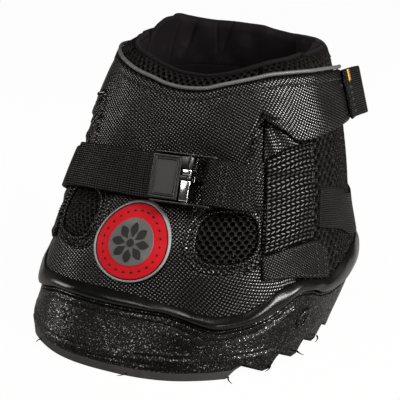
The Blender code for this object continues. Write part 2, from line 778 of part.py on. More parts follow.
def make_quarter_patches():
    """The side panel, the gusset and the anchor patch on each side, and the elastic round the heel."""

    def patch(name, side, span, low, high, material):
        first, last = sorted((side * span[0], side * span[1]))
        layer(name, angles_between(first, last), low, high, GAP, GAP + PATCH_THICKNESS, material)

    def anchor_low(angle):
        return np.maximum(anchor_low_level(angle), rand_top_level(angle) + GAP)

    side_low = raised(anchor_top_level, GAP)
    side_top = side_panel_top_level
    gusset_low = raised(side_top, GAP)
    gusset_top = raised(arm_low_level, -GAP)
    for side, name in ((1, "right"), (-1, "left")):
        patch(f"anchor_patch_{name}", side, ANCHOR_ANGLES, anchor_low, anchor_top_level, "webbing")
        patch(f"side_panel_{name}", side, SIDE_PANEL_ANGLES, side_low, side_top, "coarse_weave")
        patch(f"gusset_{name}", side, GUSSET_ANGLES, gusset_low, gusset_top, "weave")

    def half_band(angle):
        turned = np.where(angle > 180, angle - 360, angle)
        level = strap_level(turned)
        return level, ELASTIC_WIDTH / 2 * skin_directions(turned, level)[4]

    def low(angle):
        level, half = half_band(angle)
        return level - half

    def high(angle):
        level, half = half_band(angle)
        return level + half

    angles = angles_between(ELASTIC_START_ANGLE, 360 - ELASTIC_START_ANGLE)
    layer("heel_elastic", angles, low, high, GAP, GAP + ELASTIC_THICKNESS, "webbing")


# Collars
COLLAR_LEVEL = BOOT_HEIGHT * UPPER_TOP_SHARE + GAP
ROUND_SHARES = (0, 0.40, 0.74, 0.88, 0.96, 1.0)


def collar(name, angles, rim, inner, outer, material):
    """A padded collar whose rim is rounded over its last stretch."""

    def rounding(angle, share):
        height = rim(angle) - COLLAR_LEVEL
        below = (1 - share) * height
        bend = np.clip(1 - below / COLLAR_ROUND, 0, 1)
        return np.sqrt(1 - RIM_ROUNDNESS * bend**2)

    def inner_side(angle, share):
        middle = (inner(angle) + outer(angle)) / 2
        return middle + (inner(angle) - middle) * rounding(angle, share)

    def outer_side(angle, share):
        middle = (inner(angle) + outer(angle)) / 2
        return middle + (outer(angle) - middle) * rounding(angle, share)

    def low(angle):
        return COLLAR_LEVEL + 0 * angle

    return layer(name, angles, low, rim, inner_side, outer_side, material, ROUND_SHARES)


def make_collars():
    """The rear collar, and the front collar in lengths. At each side thin lengths of the two lap."""
    step = seam_angle(SEAM)

    def part(name, first, last, rim, inner, outer, material):
        def inner_side(angle):
            return inner + 0 * angle

        def outer_side(angle):
            return outer + 0 * angle

        collar(name, angles_between(first, last), rim, inner_side, outer_side, material)

    inner_face = -COLLAR_THICKNESS
    rear_start = ARM_END_ANGLE + step
    part("rear_collar", rear_start, 360 - rear_start, turned_line(rear_rim_level), inner_face, 0, "lycra")
    part("front_collar", -SHIELD_END_ANGLE, SHIELD_END_ANGLE, front_rim_level, inner_face, 0, "spacer_mesh")
    under_face = -COLLAR_LAP - GAP
    thick_end = LAP_START_ANGLE - step
    spans = {
        "arm_collar": (ARM_START_ANGLE, thick_end, front_rim_level, inner_face, 0, "spacer_mesh"),
        "collar_lap": (LAP_START_ANGLE, ARM_END_ANGLE, front_rim_level, -COLLAR_LAP, 0, "spacer_mesh"),
        "collar_under": (LAP_START_ANGLE, ARM_END_ANGLE, rear_rim_level, inner_face, under_face, "lycra"),
    }
    for name, (start, end, rim, inner, outer, material) in spans.items():
        part(f"{name}_right", start, end, rim, inner, outer, material)
        part(f"{name}_left", -end, -start, rim, inner, outer, material)


# Front shield and wrap arms
def piping_path(first, last):
    """Places of the piping, seated on the top edge of the shield or an arm."""
    angles = angles_between(first, last)
    level = piping_level(angles) + PIPING_RADIUS + GAP
    return skin(angles, level, arm_inner(angles) + SHIELD_THICKNESS / 2 + PIPING_RADIUS / 2)


def arm_inner(angle):
    """Distance of the shield's or an arm's inner face: an arm rises over the pads that it closes on."""
    turned = np.abs(angle)
    pads = 2 * PAD_THICKNESS + 2 * GAP
    first, last = ARM_RISE_ANGLES
    return GAP + pads * through((0, first, last, 180), (0, 0, 1, 1), turned)


def arm_outer(angle):
    """Distance of the shield's or an arm's outer face."""
    return arm_inner(angle) + SHIELD_THICKNESS


def make_shield():
    """The shield's fixed band, and the part that folds forward with its piping."""
    span = angles_between(-SHIELD_END_ANGLE, SHIELD_END_ANGLE)
    outer = GAP + SHIELD_THICKNESS
    layer("shield_base", span, flat_level(SHIELD_LOW_SHARE), flat_level(FOLD_SHARE), GAP, outer, "weave")
    low = raised(flat_level(FOLD_SHARE), GAP)
    layer("front_shield", span, low, piping_level, GAP, outer, "weave")
    tube("shield_piping", piping_path(-SHIELD_END_ANGLE, SHIELD_END_ANGLE), PIPING_RADIUS, "piping")


def make_arms():
    """The two wrap arms with their piping, pads and pull tabs."""

    def inner(angle, share):
        return arm_inner(angle)

    def outer(angle, share):
        return arm_outer(angle)

    pad_low, pad_high = (flat_level(share) for share in PAD_LEVEL_SHARES)
    for side, name in ((1, "right"), (-1, "left")):
        first, last = sorted((side * ARM_START_ANGLE, side * ARM_END_ANGLE))
        angles = angles_between(first, last)
        layer(f"closure_arm_{name}", angles, arm_low_level, piping_level, inner, outer, "weave")
        tube(f"arm_piping_{name}", piping_path(first, last), PIPING_RADIUS, "piping")
        first, last = sorted((side * PAD_ANGLES[0], side * PAD_ANGLES[1]))
        pads = angles_between(first, last)
        layer(f"loop_pad_{name}", pads, pad_low, pad_high, GAP, GAP + PAD_THICKNESS, "hook_and_loop")

        def hook_inner(angle, share):
            return arm_inner(angle) - GAP - PAD_THICKNESS

        def hook_outer(angle, share):
            return arm_inner(angle) - GAP

        layer(f"hook_pad_{name}", pads, pad_low, pad_high, hook_inner, hook_outer, "hook_and_loop")
        make_pull_tab(side, name)


def arm_end_frame(side):
    """The frame at the middle of an arm's end, on its outer face. Its first axis points past the end."""
    angle = side * ARM_END_ANGLE
    level = (piping_level(angle) + arm_low_level(angle)) / 2
    matrix = skin_frame(angle, level, arm_outer(angle), upright=True)
    if side < 0:
        matrix = matrix @ Matrix.Diagonal((-1, 1, 1, 1))
    return matrix


def flared(outline):
    """An outline of the tab, lifted along its run as the tab bends away from the leg."""
    return [(run, out + TAB_FLARE * (max(run, 0) / TAB_LENGTH) ** 2) for run, out in outline]


def make_pull_tab(side, name):
    """Doubled webbing: sewn on the outside of the arm's end, carried past it and folded back to the end."""
    radius = TAB_FOLD_RADIUS + WEBBING
    centre = (TAB_LENGTH - radius, TAB_SEAT - TAB_FOLD_RADIUS)
    outer = [(-TAB_OVERLAP, TAB_SEAT + WEBBING)]
    inner = [(-TAB_OVERLAP, TAB_SEAT)]
    for run in np.linspace(0, centre[0], TAB_STATIONS)[:-1]:
        outer.append((run, TAB_SEAT + WEBBING))
        inner.append((run, TAB_SEAT))
    for turn in np.radians(np.linspace(90, -90, 7)):
        outer.append((centre[0] + radius * cos(turn), centre[1] + radius * sin(turn)))
        inner.append((centre[0] + TAB_FOLD_RADIUS * cos(turn), centre[1] + TAB_FOLD_RADIUS * sin(turn)))
    for run in np.linspace(centre[0], 2 * TAB_SEAT, TAB_STATIONS)[1:]:
        outer.append((run, centre[1] - radius))
        inner.append((run, centre[1] - TAB_FOLD_RADIUS))
    outline = flared(outer + inner[::-1])
    tab = prism(f"pull_tab_{name}", outline, -TAB_WIDTH / 2, TAB_WIDTH / 2, "webbing")
    place(tab, arm_end_frame(side))
    if side > 0:
        runs = np.linspace(TAB_SEAT, TAB_SEAT + TAG_LENGTH, TAB_STATIONS)
        under = TAB_SEAT + WEBBING + GAP
        low = [(run, under) for run in runs]
        high = [(run, under + TAG_THICKNESS) for run in runs]
        outline = flared(low + high[::-1])
        tag = prism("side_tag", outline, TAB_WIDTH / 2 - TAG_WIDTH, TAB_WIDTH / 2, "tag_thread")
        place(tag, arm_end_frame(side))


# Strap, laid along its own line
STRAP_ANGLES = np.arange(-100.0, 100.5, 1.0)
STRAP_POINTS = skin(STRAP_ANGLES, strap_level(STRAP_ANGLES))
STRAP_RUNS = np.concatenate([[0], np.cumsum(np.linalg.norm(np.diff(STRAP_POINTS, axis=0), axis=1))])
STRAP_RUNS = STRAP_RUNS - np.interp(BUCKLE_ANGLE, STRAP_ANGLES, STRAP_RUNS)

# Distances out from the skin, square to it
STRAP_UNDER = SHIELD_THICKNESS + 2 * GAP + STRAP_CLEARANCE
STRAP_MIDDLE = STRAP_UNDER + WEBBING / 2
TAIL_MIDDLE = STRAP_MIDDLE + WEBBING + GAP
TURN_RADIUS = BAR_RADIUS + GAP + WEBBING / 2
CLAMP_OUT = STRAP_MIDDLE + TURN_RADIUS
UPPER_MIDDLE = CLAMP_OUT + TURN_RADIUS
END_BAR_RUN = BUCKLE_LENGTH / 2 - BAR_RADIUS
LEVER_UNDER = UPPER_MIDDLE + WEBBING / 2 + GAP
CHEEK_TOP = LEVER_UNDER + LEVER_THICKNESS / 2
PIN_OUT = LEVER_UNDER + LEVER_THICKNESS - KNUCKLE_RADIUS - GAP
LEVER_END_RUN = PIN_SETBACK - hypot(BLOCK_WIDTH / 2, BLOCK_RISE)
TAIL_START_RUN = LEVER_END_RUN - LEVER_LENGTH - LEVER_TAIL_RUN
FLAT_RUN = BUCKLE_LENGTH / 2 + WEBBING
LYING_RUN = FLAT_RUN + LYING_LENGTH


def run_at(angle):
    """Run along the strap from the buckle's centre at an angle."""
    return float(np.interp(angle, STRAP_ANGLES, STRAP_RUNS))


def buckle_matrix():
    """The buckle's frame: along the strap, across it and out of the skin."""
    return skin_frame(BUCKLE_ANGLE, strap_level(BUCKLE_ANGLE))


def strap_place(run, out, across):
    """Points of the strap: its run from the buckle, its distance square to the skin and its place across.

    It is flat through the buckle and lies down on the skin over the stretch beyond it.
    """
    run = np.asarray(run, float)
    out = np.asarray(out, float)
    across = np.asarray(across, float)
    angle = np.interp(run, STRAP_RUNS, STRAP_ANGLES)
    level = strap_level(angle)
    _, up, outward, _, _ = skin_directions(angle, level)
    lying = skin(angle, level) + outward * out[..., None] + up * across[..., None]
    matrix = np.array(buckle_matrix())
    flat = np.stack([run, across, out], -1) @ matrix[:3, :3].T + matrix[:3, 3]
    flat_share = through((0, FLAT_RUN, LYING_RUN), (1, 1, 0), np.abs(run))[..., None]
    return flat * flat_share + lying * (1 - flat_share)


def turn_back(run, out, facing):
    """Points of a half turn of the strap round a bar, from below it to above, facing along it or back."""
    turns = np.radians(np.linspace(-90, 90, 9))
    return [(run + facing * TURN_RADIUS * cos(t), out + TURN_RADIUS * sin(t)) for t in turns]


def webbing_band(name, route):
    """Webbing of even thickness along a route of runs and distances out."""
    route = np.asarray(route, float)
    ahead = np.gradient(route, axis=0)
    ahead /= np.linalg.norm(ahead, axis=1)[:, None]
    sideways = np.stack([-ahead[:, 1], ahead[:, 0]], -1) * WEBBING / 2
    sides = []
    for edge in (route + sideways, route - sideways):
        runs, outs = edge.T
        near = strap_place(runs, outs, np.full(len(runs), -STRAP_WIDTH / 2))
        far = strap_place(runs, outs, np.full(len(runs), STRAP_WIDTH / 2))
        sides.append(np.stack([near, far]))
    return two_sided(name, sides[0], sides[1], "webbing")


def even_runs(first, last):
    """Runs between two places, a few millimetres apart."""
    spacing = WEBBING * 4
    count = max(2, ceil(abs(last - first) / spacing) + 1)
    return np.linspace(first, last, count)


def upper_out(run):
    """Distance out of the strap's upper part: level under the lever, then down to the lower part."""
    start = -BUCKLE_LENGTH / 2
    return float(
        through(
            (-1, start - TAIL_DROP_RUN, start, 0),
            (TAIL_MIDDLE, TAIL_MIDDLE, UPPER_MIDDLE - GAP, UPPER_MIDDLE),
            run,
        )
    )


def make_straps():
    """The strap from the left side round the clamp bar, its free tail, and the doubled webbing opposite."""
    route = [(run, STRAP_MIDDLE) for run in even_runs(run_at(STRAP_LEFT_ANGLE), -CLAMP_SETBACK - GAP)]
    route += turn_back(-CLAMP_SETBACK, CLAMP_OUT, 1)
    route += [(run, upper_out(run)) for run in even_runs(-CLAMP_SETBACK - WEBBING, TAIL_START_RUN)]
    webbing_band("strap_webbing", route)

    tail_end = run_at(TAIL_END_ANGLE)
    tail = [(run, upper_out(run)) for run in even_runs(TAIL_START_RUN - GAP, tail_end)]
    tail[-1] = (tail[-1][0], tail[-1][1] + TAIL_FLARE)
    webbing_band("strap_tail", tail)

    end = run_at(STRAP_RIGHT_ANGLE)
    lower = [(run, STRAP_MIDDLE) for run in even_runs(end, END_BAR_RUN + GAP)]
    upper = [
        (run, through((END_BAR_RUN, END_BAR_RUN + TAIL_DROP_RUN), (UPPER_MIDDLE, TAIL_MIDDLE), run))
        for run in even_runs(END_BAR_RUN + WEBBING, end)
    ]
    webbing_band("strap_anchor", lower + turn_back(END_BAR_RUN, CLAMP_OUT, -1) + upper)


# Buckle
INNER_HALF = STRAP_WIDTH / 2 + GAP
OUTER_HALF = INNER_HALF + CHEEK_THICKNESS
HOLE_RADIUS = PIN_RADIUS + GAP


def cheek_outline():
    """Side view of a cheek: a plate along the lever, raised round the pin and rounded at the end bar."""
    end_bar = (END_BAR_RUN, CLAMP_OUT)
    pin = (PIN_SETBACK, PIN_OUT)
    low = STRAP_UNDER
    left = -BUCKLE_LENGTH / 2
    outline = [(left + BAR_RADIUS, low), (end_bar[0], end_bar[1] - KNUCKLE_RADIUS)]
    for turn in np.radians(np.linspace(-60, 75, 6)):
        outline.append((end_bar[0] + KNUCKLE_RADIUS * cos(turn), end_bar[1] + KNUCKLE_RADIUS * sin(turn)))
    foot_of_lobe = 180 - degrees(asin((CHEEK_TOP - PIN_OUT) / KNUCKLE_RADIUS))
    for turn in np.radians(np.linspace(20, foot_of_lobe, 8)):
        outline.append((pin[0] + KNUCKLE_RADIUS * cos(turn), pin[1] + KNUCKLE_RADIUS * sin(turn)))
    outline += [(left + BAR_RADIUS, CHEEK_TOP), (left, CHEEK_TOP - BAR_RADIUS), (left, low + BAR_RADIUS)]
    return outline


def bore(name, centre):
    """A cutter for the pin's hole, right across the buckle."""
    return rod(name, centre, HOLE_RADIUS, -OUTER_HALF - OVERRUN, OUTER_HALF + OVERRUN, "black_metal")


def make_frame():
    """Two cheeks joined by the end bar, with holes for the pin and the clamp bar."""
    outline = cheek_outline()
    frame = prism("buckle_frame", outline, -OUTER_HALF, -INNER_HALF, "black_metal")
    other = prism("far_cheek", outline, INNER_HALF, OUTER_HALF, "black_metal")
    end_bar = (END_BAR_RUN, CLAMP_OUT)
    half = INNER_HALF + CHEEK_THICKNESS / 2
    bar = rod("end_bar", end_bar, BAR_RADIUS, -half, half, "black_metal")
    combine(frame, other, "UNION")
    combine(frame, bar, "UNION")
    combine(frame, bore("pin_hole", (PIN_SETBACK, PIN_OUT)), "DIFFERENCE")
    combine(frame, bore("clamp_hole", (-CLAMP_SETBACK, CLAMP_OUT)), "DIFFERENCE")
    return [frame] + [modifier.object for modifier in frame.modifiers]


def knuckle_spans():
    """Places across the buckle where the steel knuckles and the lever's knuckles lie."""
    places = [share * STRAP_WIDTH / 2 for share in KNUCKLE_SHARES]
    steel = [(places[0], places[1]), (places[2], places[3])]
    lever = [(places[1] + GAP, places[2] - GAP), (places[3] + GAP, places[4])]
    return steel, lever


def make_hinge_block():
    """The polished block between the cheeks: a crossbar and two knuckles round the pin."""
    half = BLOCK_WIDTH / 2
    reach = INNER_HALF - GAP
    low = (PIN_SETBACK - half, -reach, STRAP_UNDER)
    high = (PIN_SETBACK + half, reach, STRAP_UNDER + CROSSBAR_HEIGHT)
    block = box("hinge_block", low, high, "polished_steel")
    helpers = []
    for number, (start, end) in enumerate(knuckle_spans()[0]):
        root = high[2] - CROSSBAR_HEIGHT / 2
        top = PIN_OUT + BLOCK_RISE
        edge = top - BLOCK_CHAMFER
        outline = [(low[0], root), (high[0], root), (high[0], edge), (high[0] - BLOCK_CHAMFER, top)]
        outline += [(low[0] + BLOCK_CHAMFER, top), (low[0], edge)]
        helpers.append(prism(f"steel_knuckle_{number}", outline, start, end, "polished_steel"))
        combine(block, helpers[-1], "UNION")
    helpers.append(bore("block_bore", (PIN_SETBACK, PIN_OUT)))
    combine(block, helpers[-1], "DIFFERENCE")
    return [block] + helpers


def make_lever():
    """The lever: a plate with a sunk panel, and two knuckles round the pin. Its origin is on the pin."""
    right = LEVER_END_RUN - PIN_SETBACK
    left = right - LEVER_LENGTH
    under = LEVER_UNDER - PIN_OUT
    top = under + LEVER_THICKNESS
    reach = INNER_HALF - LEVER_EASE
    plate = box("buckle_lever", (left, -reach, under), (right, reach, top), "black_metal")
    bevel = plate.modifiers.new("edge", "BEVEL")
    bevel.width = LEVER_BEVEL
    bevel.segments = 2
    bevel.limit_method = "ANGLE"
    margin = LEVER_PANEL_MARGIN
    helpers = [
        box(
            "lever_panel",
            (left + margin, -reach + margin, top - LEVER_PANEL_DEPTH),
            (right - margin, reach - margin, top + OVERRUN),
            "black_metal",
        )
    ]
    combine(plate, helpers[0], "DIFFERENCE")
    for number, (start, end) in enumerate(knuckle_spans()[1]):
        root = right - LEVER_THICKNESS
        outline = [(root, under + GAP)]
        for turn in np.radians(np.linspace(195, 465, 14)):
            outline.append((KNUCKLE_RADIUS * cos(turn), KNUCKLE_RADIUS * sin(turn)))
        outline.append((root, top - LEVER_BEVEL))
        helpers.append(prism(f"lever_knuckle_{number}", outline, start, end, "black_metal"))
        combine(plate, helpers[-1], "UNION")
    helpers.append(rod("lever_bore", (0, 0), HOLE_RADIUS, -reach - OVERRUN, reach + OVERRUN, "black_metal"))
    combine(plate, helpers[-1], "DIFFERENCE")
    for piece in [plate] + helpers:
        piece.matrix_world = Matrix.Translation((PIN_SETBACK, 0, PIN_OUT))
    return [plate] + helpers


def make_buckle():
    """The whole buckle, laid on the skin."""
    pieces = make_frame() + make_hinge_block() + make_lever()
    pin = (PIN_SETBACK, PIN_OUT)
    pieces.append(rod("buckle_pin", pin, PIN_RADIUS, -OUTER_HALF, OUTER_HALF, "black_metal"))
    clamp = (-CLAMP_SETBACK, CLAMP_OUT)
    pieces.append(rod("clamp_bar", clamp, BAR_RADIUS, -OUTER_HALF, OUTER_HALF, "black_metal"))
    matrix = buckle_matrix()
    for piece in pieces:
        place(piece, matrix)


def make_badge():
    """The round rubber patch: a raised rim, a sewn groove, a flat ring and a raised middle disc."""
    full = GAP + BADGE_THICKNESS
    flat = full - BADGE_RELIEF
    rings = (
        (1.0, flat),
        (BADGE_EDGE_SHARE, full),
        (BADGE_RIM_SHARE, full),
        (BADGE_GROOVE_SHARE, flat),
        (BADGE_DISC_SHARE, flat),
        (BADGE_DISC_SHARE * BADGE_EDGE_SHARE, full),
    )
    outline = round_outline(BADGE_WIDTH, BADGE_WIDTH, sides=FINE_SIDES + COARSE_SIDES)
    medallion("badge", BADGE_ANGLE, BOOT_HEIGHT * BADGE_LEVEL_SHARE, outline, rings, GAP, "badge_rubber")


def make_boot():
    """Every piece of the boot."""
    clear_scene()
    make_outsole()
    make_rand()
    make_boards()
    make_lining()
    make_upper()
    make_quarter_patches()
    make_collars()
    make_shield()
    make_arms()
    make_straps()
    make_buckle()
    make_badge()


make_boot()
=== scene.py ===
"""Looks of a hoof boot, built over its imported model.

The boot stands on the floor with its toe towards -Y. Most pieces are surfaces over one skin, which is given by an
angle round the boot (0 at the toe, 90 on the +X side, 180 at the heel) and a level above the floor. Lengths are in
metres and angles in degrees, unless a name says otherwise.
"""

from __future__ import annotations

import logging
from contextlib import contextmanager
from dataclasses import dataclass, field
from enum import Enum
from math import radians
from typing import Callable, Iterator, Sequence

import bmesh
import bpy
import numpy as np
from mathutils import Matrix, Vector

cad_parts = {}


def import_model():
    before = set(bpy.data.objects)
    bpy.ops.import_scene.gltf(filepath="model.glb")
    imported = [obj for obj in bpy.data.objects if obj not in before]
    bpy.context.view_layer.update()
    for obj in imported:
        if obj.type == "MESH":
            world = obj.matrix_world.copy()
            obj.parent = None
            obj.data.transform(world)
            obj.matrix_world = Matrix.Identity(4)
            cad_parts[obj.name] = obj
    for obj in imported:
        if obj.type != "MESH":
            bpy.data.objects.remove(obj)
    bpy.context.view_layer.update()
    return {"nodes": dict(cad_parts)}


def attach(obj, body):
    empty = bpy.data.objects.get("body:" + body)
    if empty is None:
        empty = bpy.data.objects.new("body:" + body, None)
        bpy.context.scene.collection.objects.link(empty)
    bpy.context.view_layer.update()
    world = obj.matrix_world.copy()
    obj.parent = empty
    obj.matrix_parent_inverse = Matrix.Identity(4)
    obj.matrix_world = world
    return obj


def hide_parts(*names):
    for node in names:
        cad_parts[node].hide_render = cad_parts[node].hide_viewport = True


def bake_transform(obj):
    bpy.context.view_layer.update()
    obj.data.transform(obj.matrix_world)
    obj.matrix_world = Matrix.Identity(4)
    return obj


LOG = logging.getLogger("hoof_boot")
Array = np.ndarray
Object = bpy.types.Object
Socket = bpy.types.NodeSocket
SkinFunction = Callable[[Array, Array], Array]
LineFunction = Callable[[Array], Array]

GAP = 0.0003
SKIN_RADIUS = 0.070
SKIN_CLIMB = 1.12
COLLAR_RADIUS = 0.062
STITCH = 0.0022


class Body(Enum):
    """The bodies that pieces ride on."""

    BOOT = "boot"
    SHIELD = "shield"
    ARM_RIGHT = "wrap_arm_right"
    ARM_LEFT = "wrap_arm_left"
    LEVER = "lever"
    TAIL = "free_tail"


class Side(Enum):
    """The two sides of the boot, by the sign of X."""

    RIGHT = 1
    LEFT = -1

    @property
    def word(self) -> str:
        """The side's name in lower case."""
        return self.name.lower()

    @property
    def arm(self) -> Body:
        """The wrap arm of this side."""
        return Body.ARM_RIGHT if self is Side.RIGHT else Body.ARM_LEFT

    def span(self, first: float, last: float) -> tuple[float, float]:
        """Two angles of this side, given without their sign, in rising order."""
        low, high = sorted((self.value * first, self.value * last))
        return low, high


# Numbers worked out over whole arrays


def smooth_step(value: Array, low: float, high: float) -> Array:
    """Rises from 0 at low to 1 at high as three squares less two cubes of the share of the way.

    Args:
        value: the places to work it out at.
        low: where it leaves 0.
        high: where it reaches 1. It may lie below low, which turns the step round.

    Returns:
        The step's height at each place.
    """
    share = np.clip((np.asarray(value, float) - low) / (high - low), 0, 1)
    return share * share * (3 - 2 * share)


def through(stations: Sequence[float], values: Sequence[float], places: Array) -> Array:
    """A smooth curve through the values, whose slope at a station is the harmonic mean of the slopes beside it.

    Args:
        stations: the places that the curve is given at, rising.
        values: the curve's values there.
        places: where to work it out, held within the stations.

    Returns:
        The curve's values at the places.
    """
    stations, values = np.asarray(stations, float), np.asarray(values, float)
    places = np.clip(places, stations[0], stations[-1])
    steps = np.diff(stations)
    slopes = np.diff(values) / steps
    product, total = slopes[:-1] * slopes[1:], slopes[:-1] + slopes[1:]
    inner = np.where(product > 0, 2 * product / np.where(product > 0, total, 1), 0)
    bends = np.concatenate([slopes[:1], inner, slopes[-1:]])
    index = np.clip(np.searchsorted(stations, places, side="right") - 1, 0, len(steps) - 1)
    run = steps[index]
    part = (places - stations[index]) / run
    rest = 1 - part
    return (
        values[index] * (1 + 2 * part) * rest**2
        + bends[index] * run * part * rest**2
        + values[index + 1] * part**2 * (3 - 2 * part)
        + bends[index + 1] * run * part**2 * (part - 1)
    )


def bump(value: Array, centre: float, width: float) -> Array:
    """A smooth hill: one at the centre, falling as a bell whose half width is the given width."""
    return np.exp(-(((value - centre) / width) ** 2))


def rounded(gap: Array, radius: float, least: float = 0.0) -> Array:
    """Share of the full height near an edge: a quarter circle that rises over the radius from the edge."""
    return np.sqrt(np.clip(1 - np.clip(1 - gap / radius, 0, 1) ** 2, least, 1))


def unit(vectors: Array) -> Array:
    """Vectors scaled to length one."""
    return vectors / np.linalg.norm(vectors, axis=-1, keepdims=True)


def walked(path: Array) -> Array:
    """Length walked along a path up to each of its points."""
    return np.concatenate([[0.0], np.cumsum(np.linalg.norm(np.diff(path, axis=0), axis=1))])


def full_turn(count: int) -> Array:
    """Equal steps round a full turn, in radians, from 0."""
    return np.arange(count) * 2 * np.pi / count


def signed(angle: Array) -> Array:
    """Angles round the boot with those past 180 degrees counted back from the toe."""
    return np.where(np.asarray(angle) > 180, np.asarray(angle) - 360, angle)


def carry(matrix: Matrix, spots: Array) -> Array:
    """Spots taken through a matrix: turned by its axes and moved by its place."""
    rows = np.array(matrix)
    return spots @ rows[:3, :3].T + rows[:3, 3]


def waves(x: Array, y: Array, seed: int, count: int, scale: float) -> Array:
    """A soft uneven field: the mean of sine waves whose directions, lengths and phases are drawn from the seed.

    Args:
        x: first coordinate.
        y: second coordinate.
        seed: the seed of the draw.
        count: how many waves are summed.
        scale: the mean length of a wave, in the units of x and y.

    Returns:
        The field, mostly between -1 and 1.
    """
    draw = np.random.default_rng(seed)
    total = np.zeros(np.broadcast(x, y).shape)
    for _ in range(count):
        turn, phase = draw.uniform(0, 2 * np.pi, 2)
        rate = 2 * np.pi / (scale * draw.uniform(0.6, 1.8))
        total = total + np.sin(rate * (x * np.cos(turn) + y * np.sin(turn)) + phase)
    return total * np.sqrt(2 / count) * 0.7


def skin_lengths(angle: Array, level: Array) -> tuple[Array, Array]:
    """Lengths along and up the skin, for patterns: a mean radius times the angle, and the level over the slope."""
    return np.radians(angle) * SKIN_RADIUS, level * SKIN_CLIMB


def soft(seed: int, count: int, scale: float, height: float) -> SkinFunction:
    """The relief of soft cloth: an uneven field over the lengths along and up the skin, times a height."""
    return lambda angle, level: waves(*skin_lengths(angle, level), seed, count, scale) * height


def hole_relief(along: Array, up: Array, pitch: float, size: float, depth: float, aspect: float = 1.0) -> Array:
    """Relief of an open mesh: round hollows on a lattice whose alternate rows are shifted by half a pitch.

    Args:
        along: distance along the cloth.
        up: distance up the cloth.
        pitch: distance between hollows in a row.
        size: radius of a hollow.
        depth: how deep a hollow is.
        aspect: row distance as a share of a closely packed lattice's.

    Returns:
        Heights, negative in the hollows.
    """
    row_height = pitch * 0.62 * aspect
    nearest = np.full(np.broadcast(along, up).shape, np.inf)
    base = np.floor(up / row_height)
    for step in (-1, 0, 1, 2):
        row = base + step
        shift = np.where(np.mod(row, 2) > 0.5, pitch / 2, 0.0)
        x = np.mod(along - shift + pitch / 2, pitch) - pitch / 2
        nearest = np.minimum(nearest, np.hypot(x, up - row * row_height))
    rim = bump(nearest, size * 1.35, size * 0.35) * depth * 0.22
    return rim - depth * smooth_step(nearest, size * 1.15, size * 0.6)


@dataclass(frozen=True)
class Line:
    """A line round the boot: angle and share of the boot's height at its stations.

    Stations that start at 0 or above hold for both sides alike.
    """

    stations: tuple[tuple[float, float], ...]
    height: float = 0.140
    rise: float = 0.0

    def __call__(self, angle: Array) -> Array:
        """The line's level at angles, which may run past 180 degrees: a smooth curve through its stations.

        Args:
            angle: the angles.

        Returns:
            The levels.
        """
        angles, levels = zip(*self.stations)
        turned = signed(np.asarray(angle, float))
        turned = turned if angles[0] < 0 else np.abs(turned)
        return self.height * through(angles, levels, turned) + self.rise

    def raised(self, rise: float) -> Line:
        """The same line moved up by a distance."""
        return Line(self.stations, self.height, self.rise + rise)


def level_line(level: float) -> Line:
    """A line at one level."""
    return Line(((0, 0.0), (180, 0.0)), rise=level)


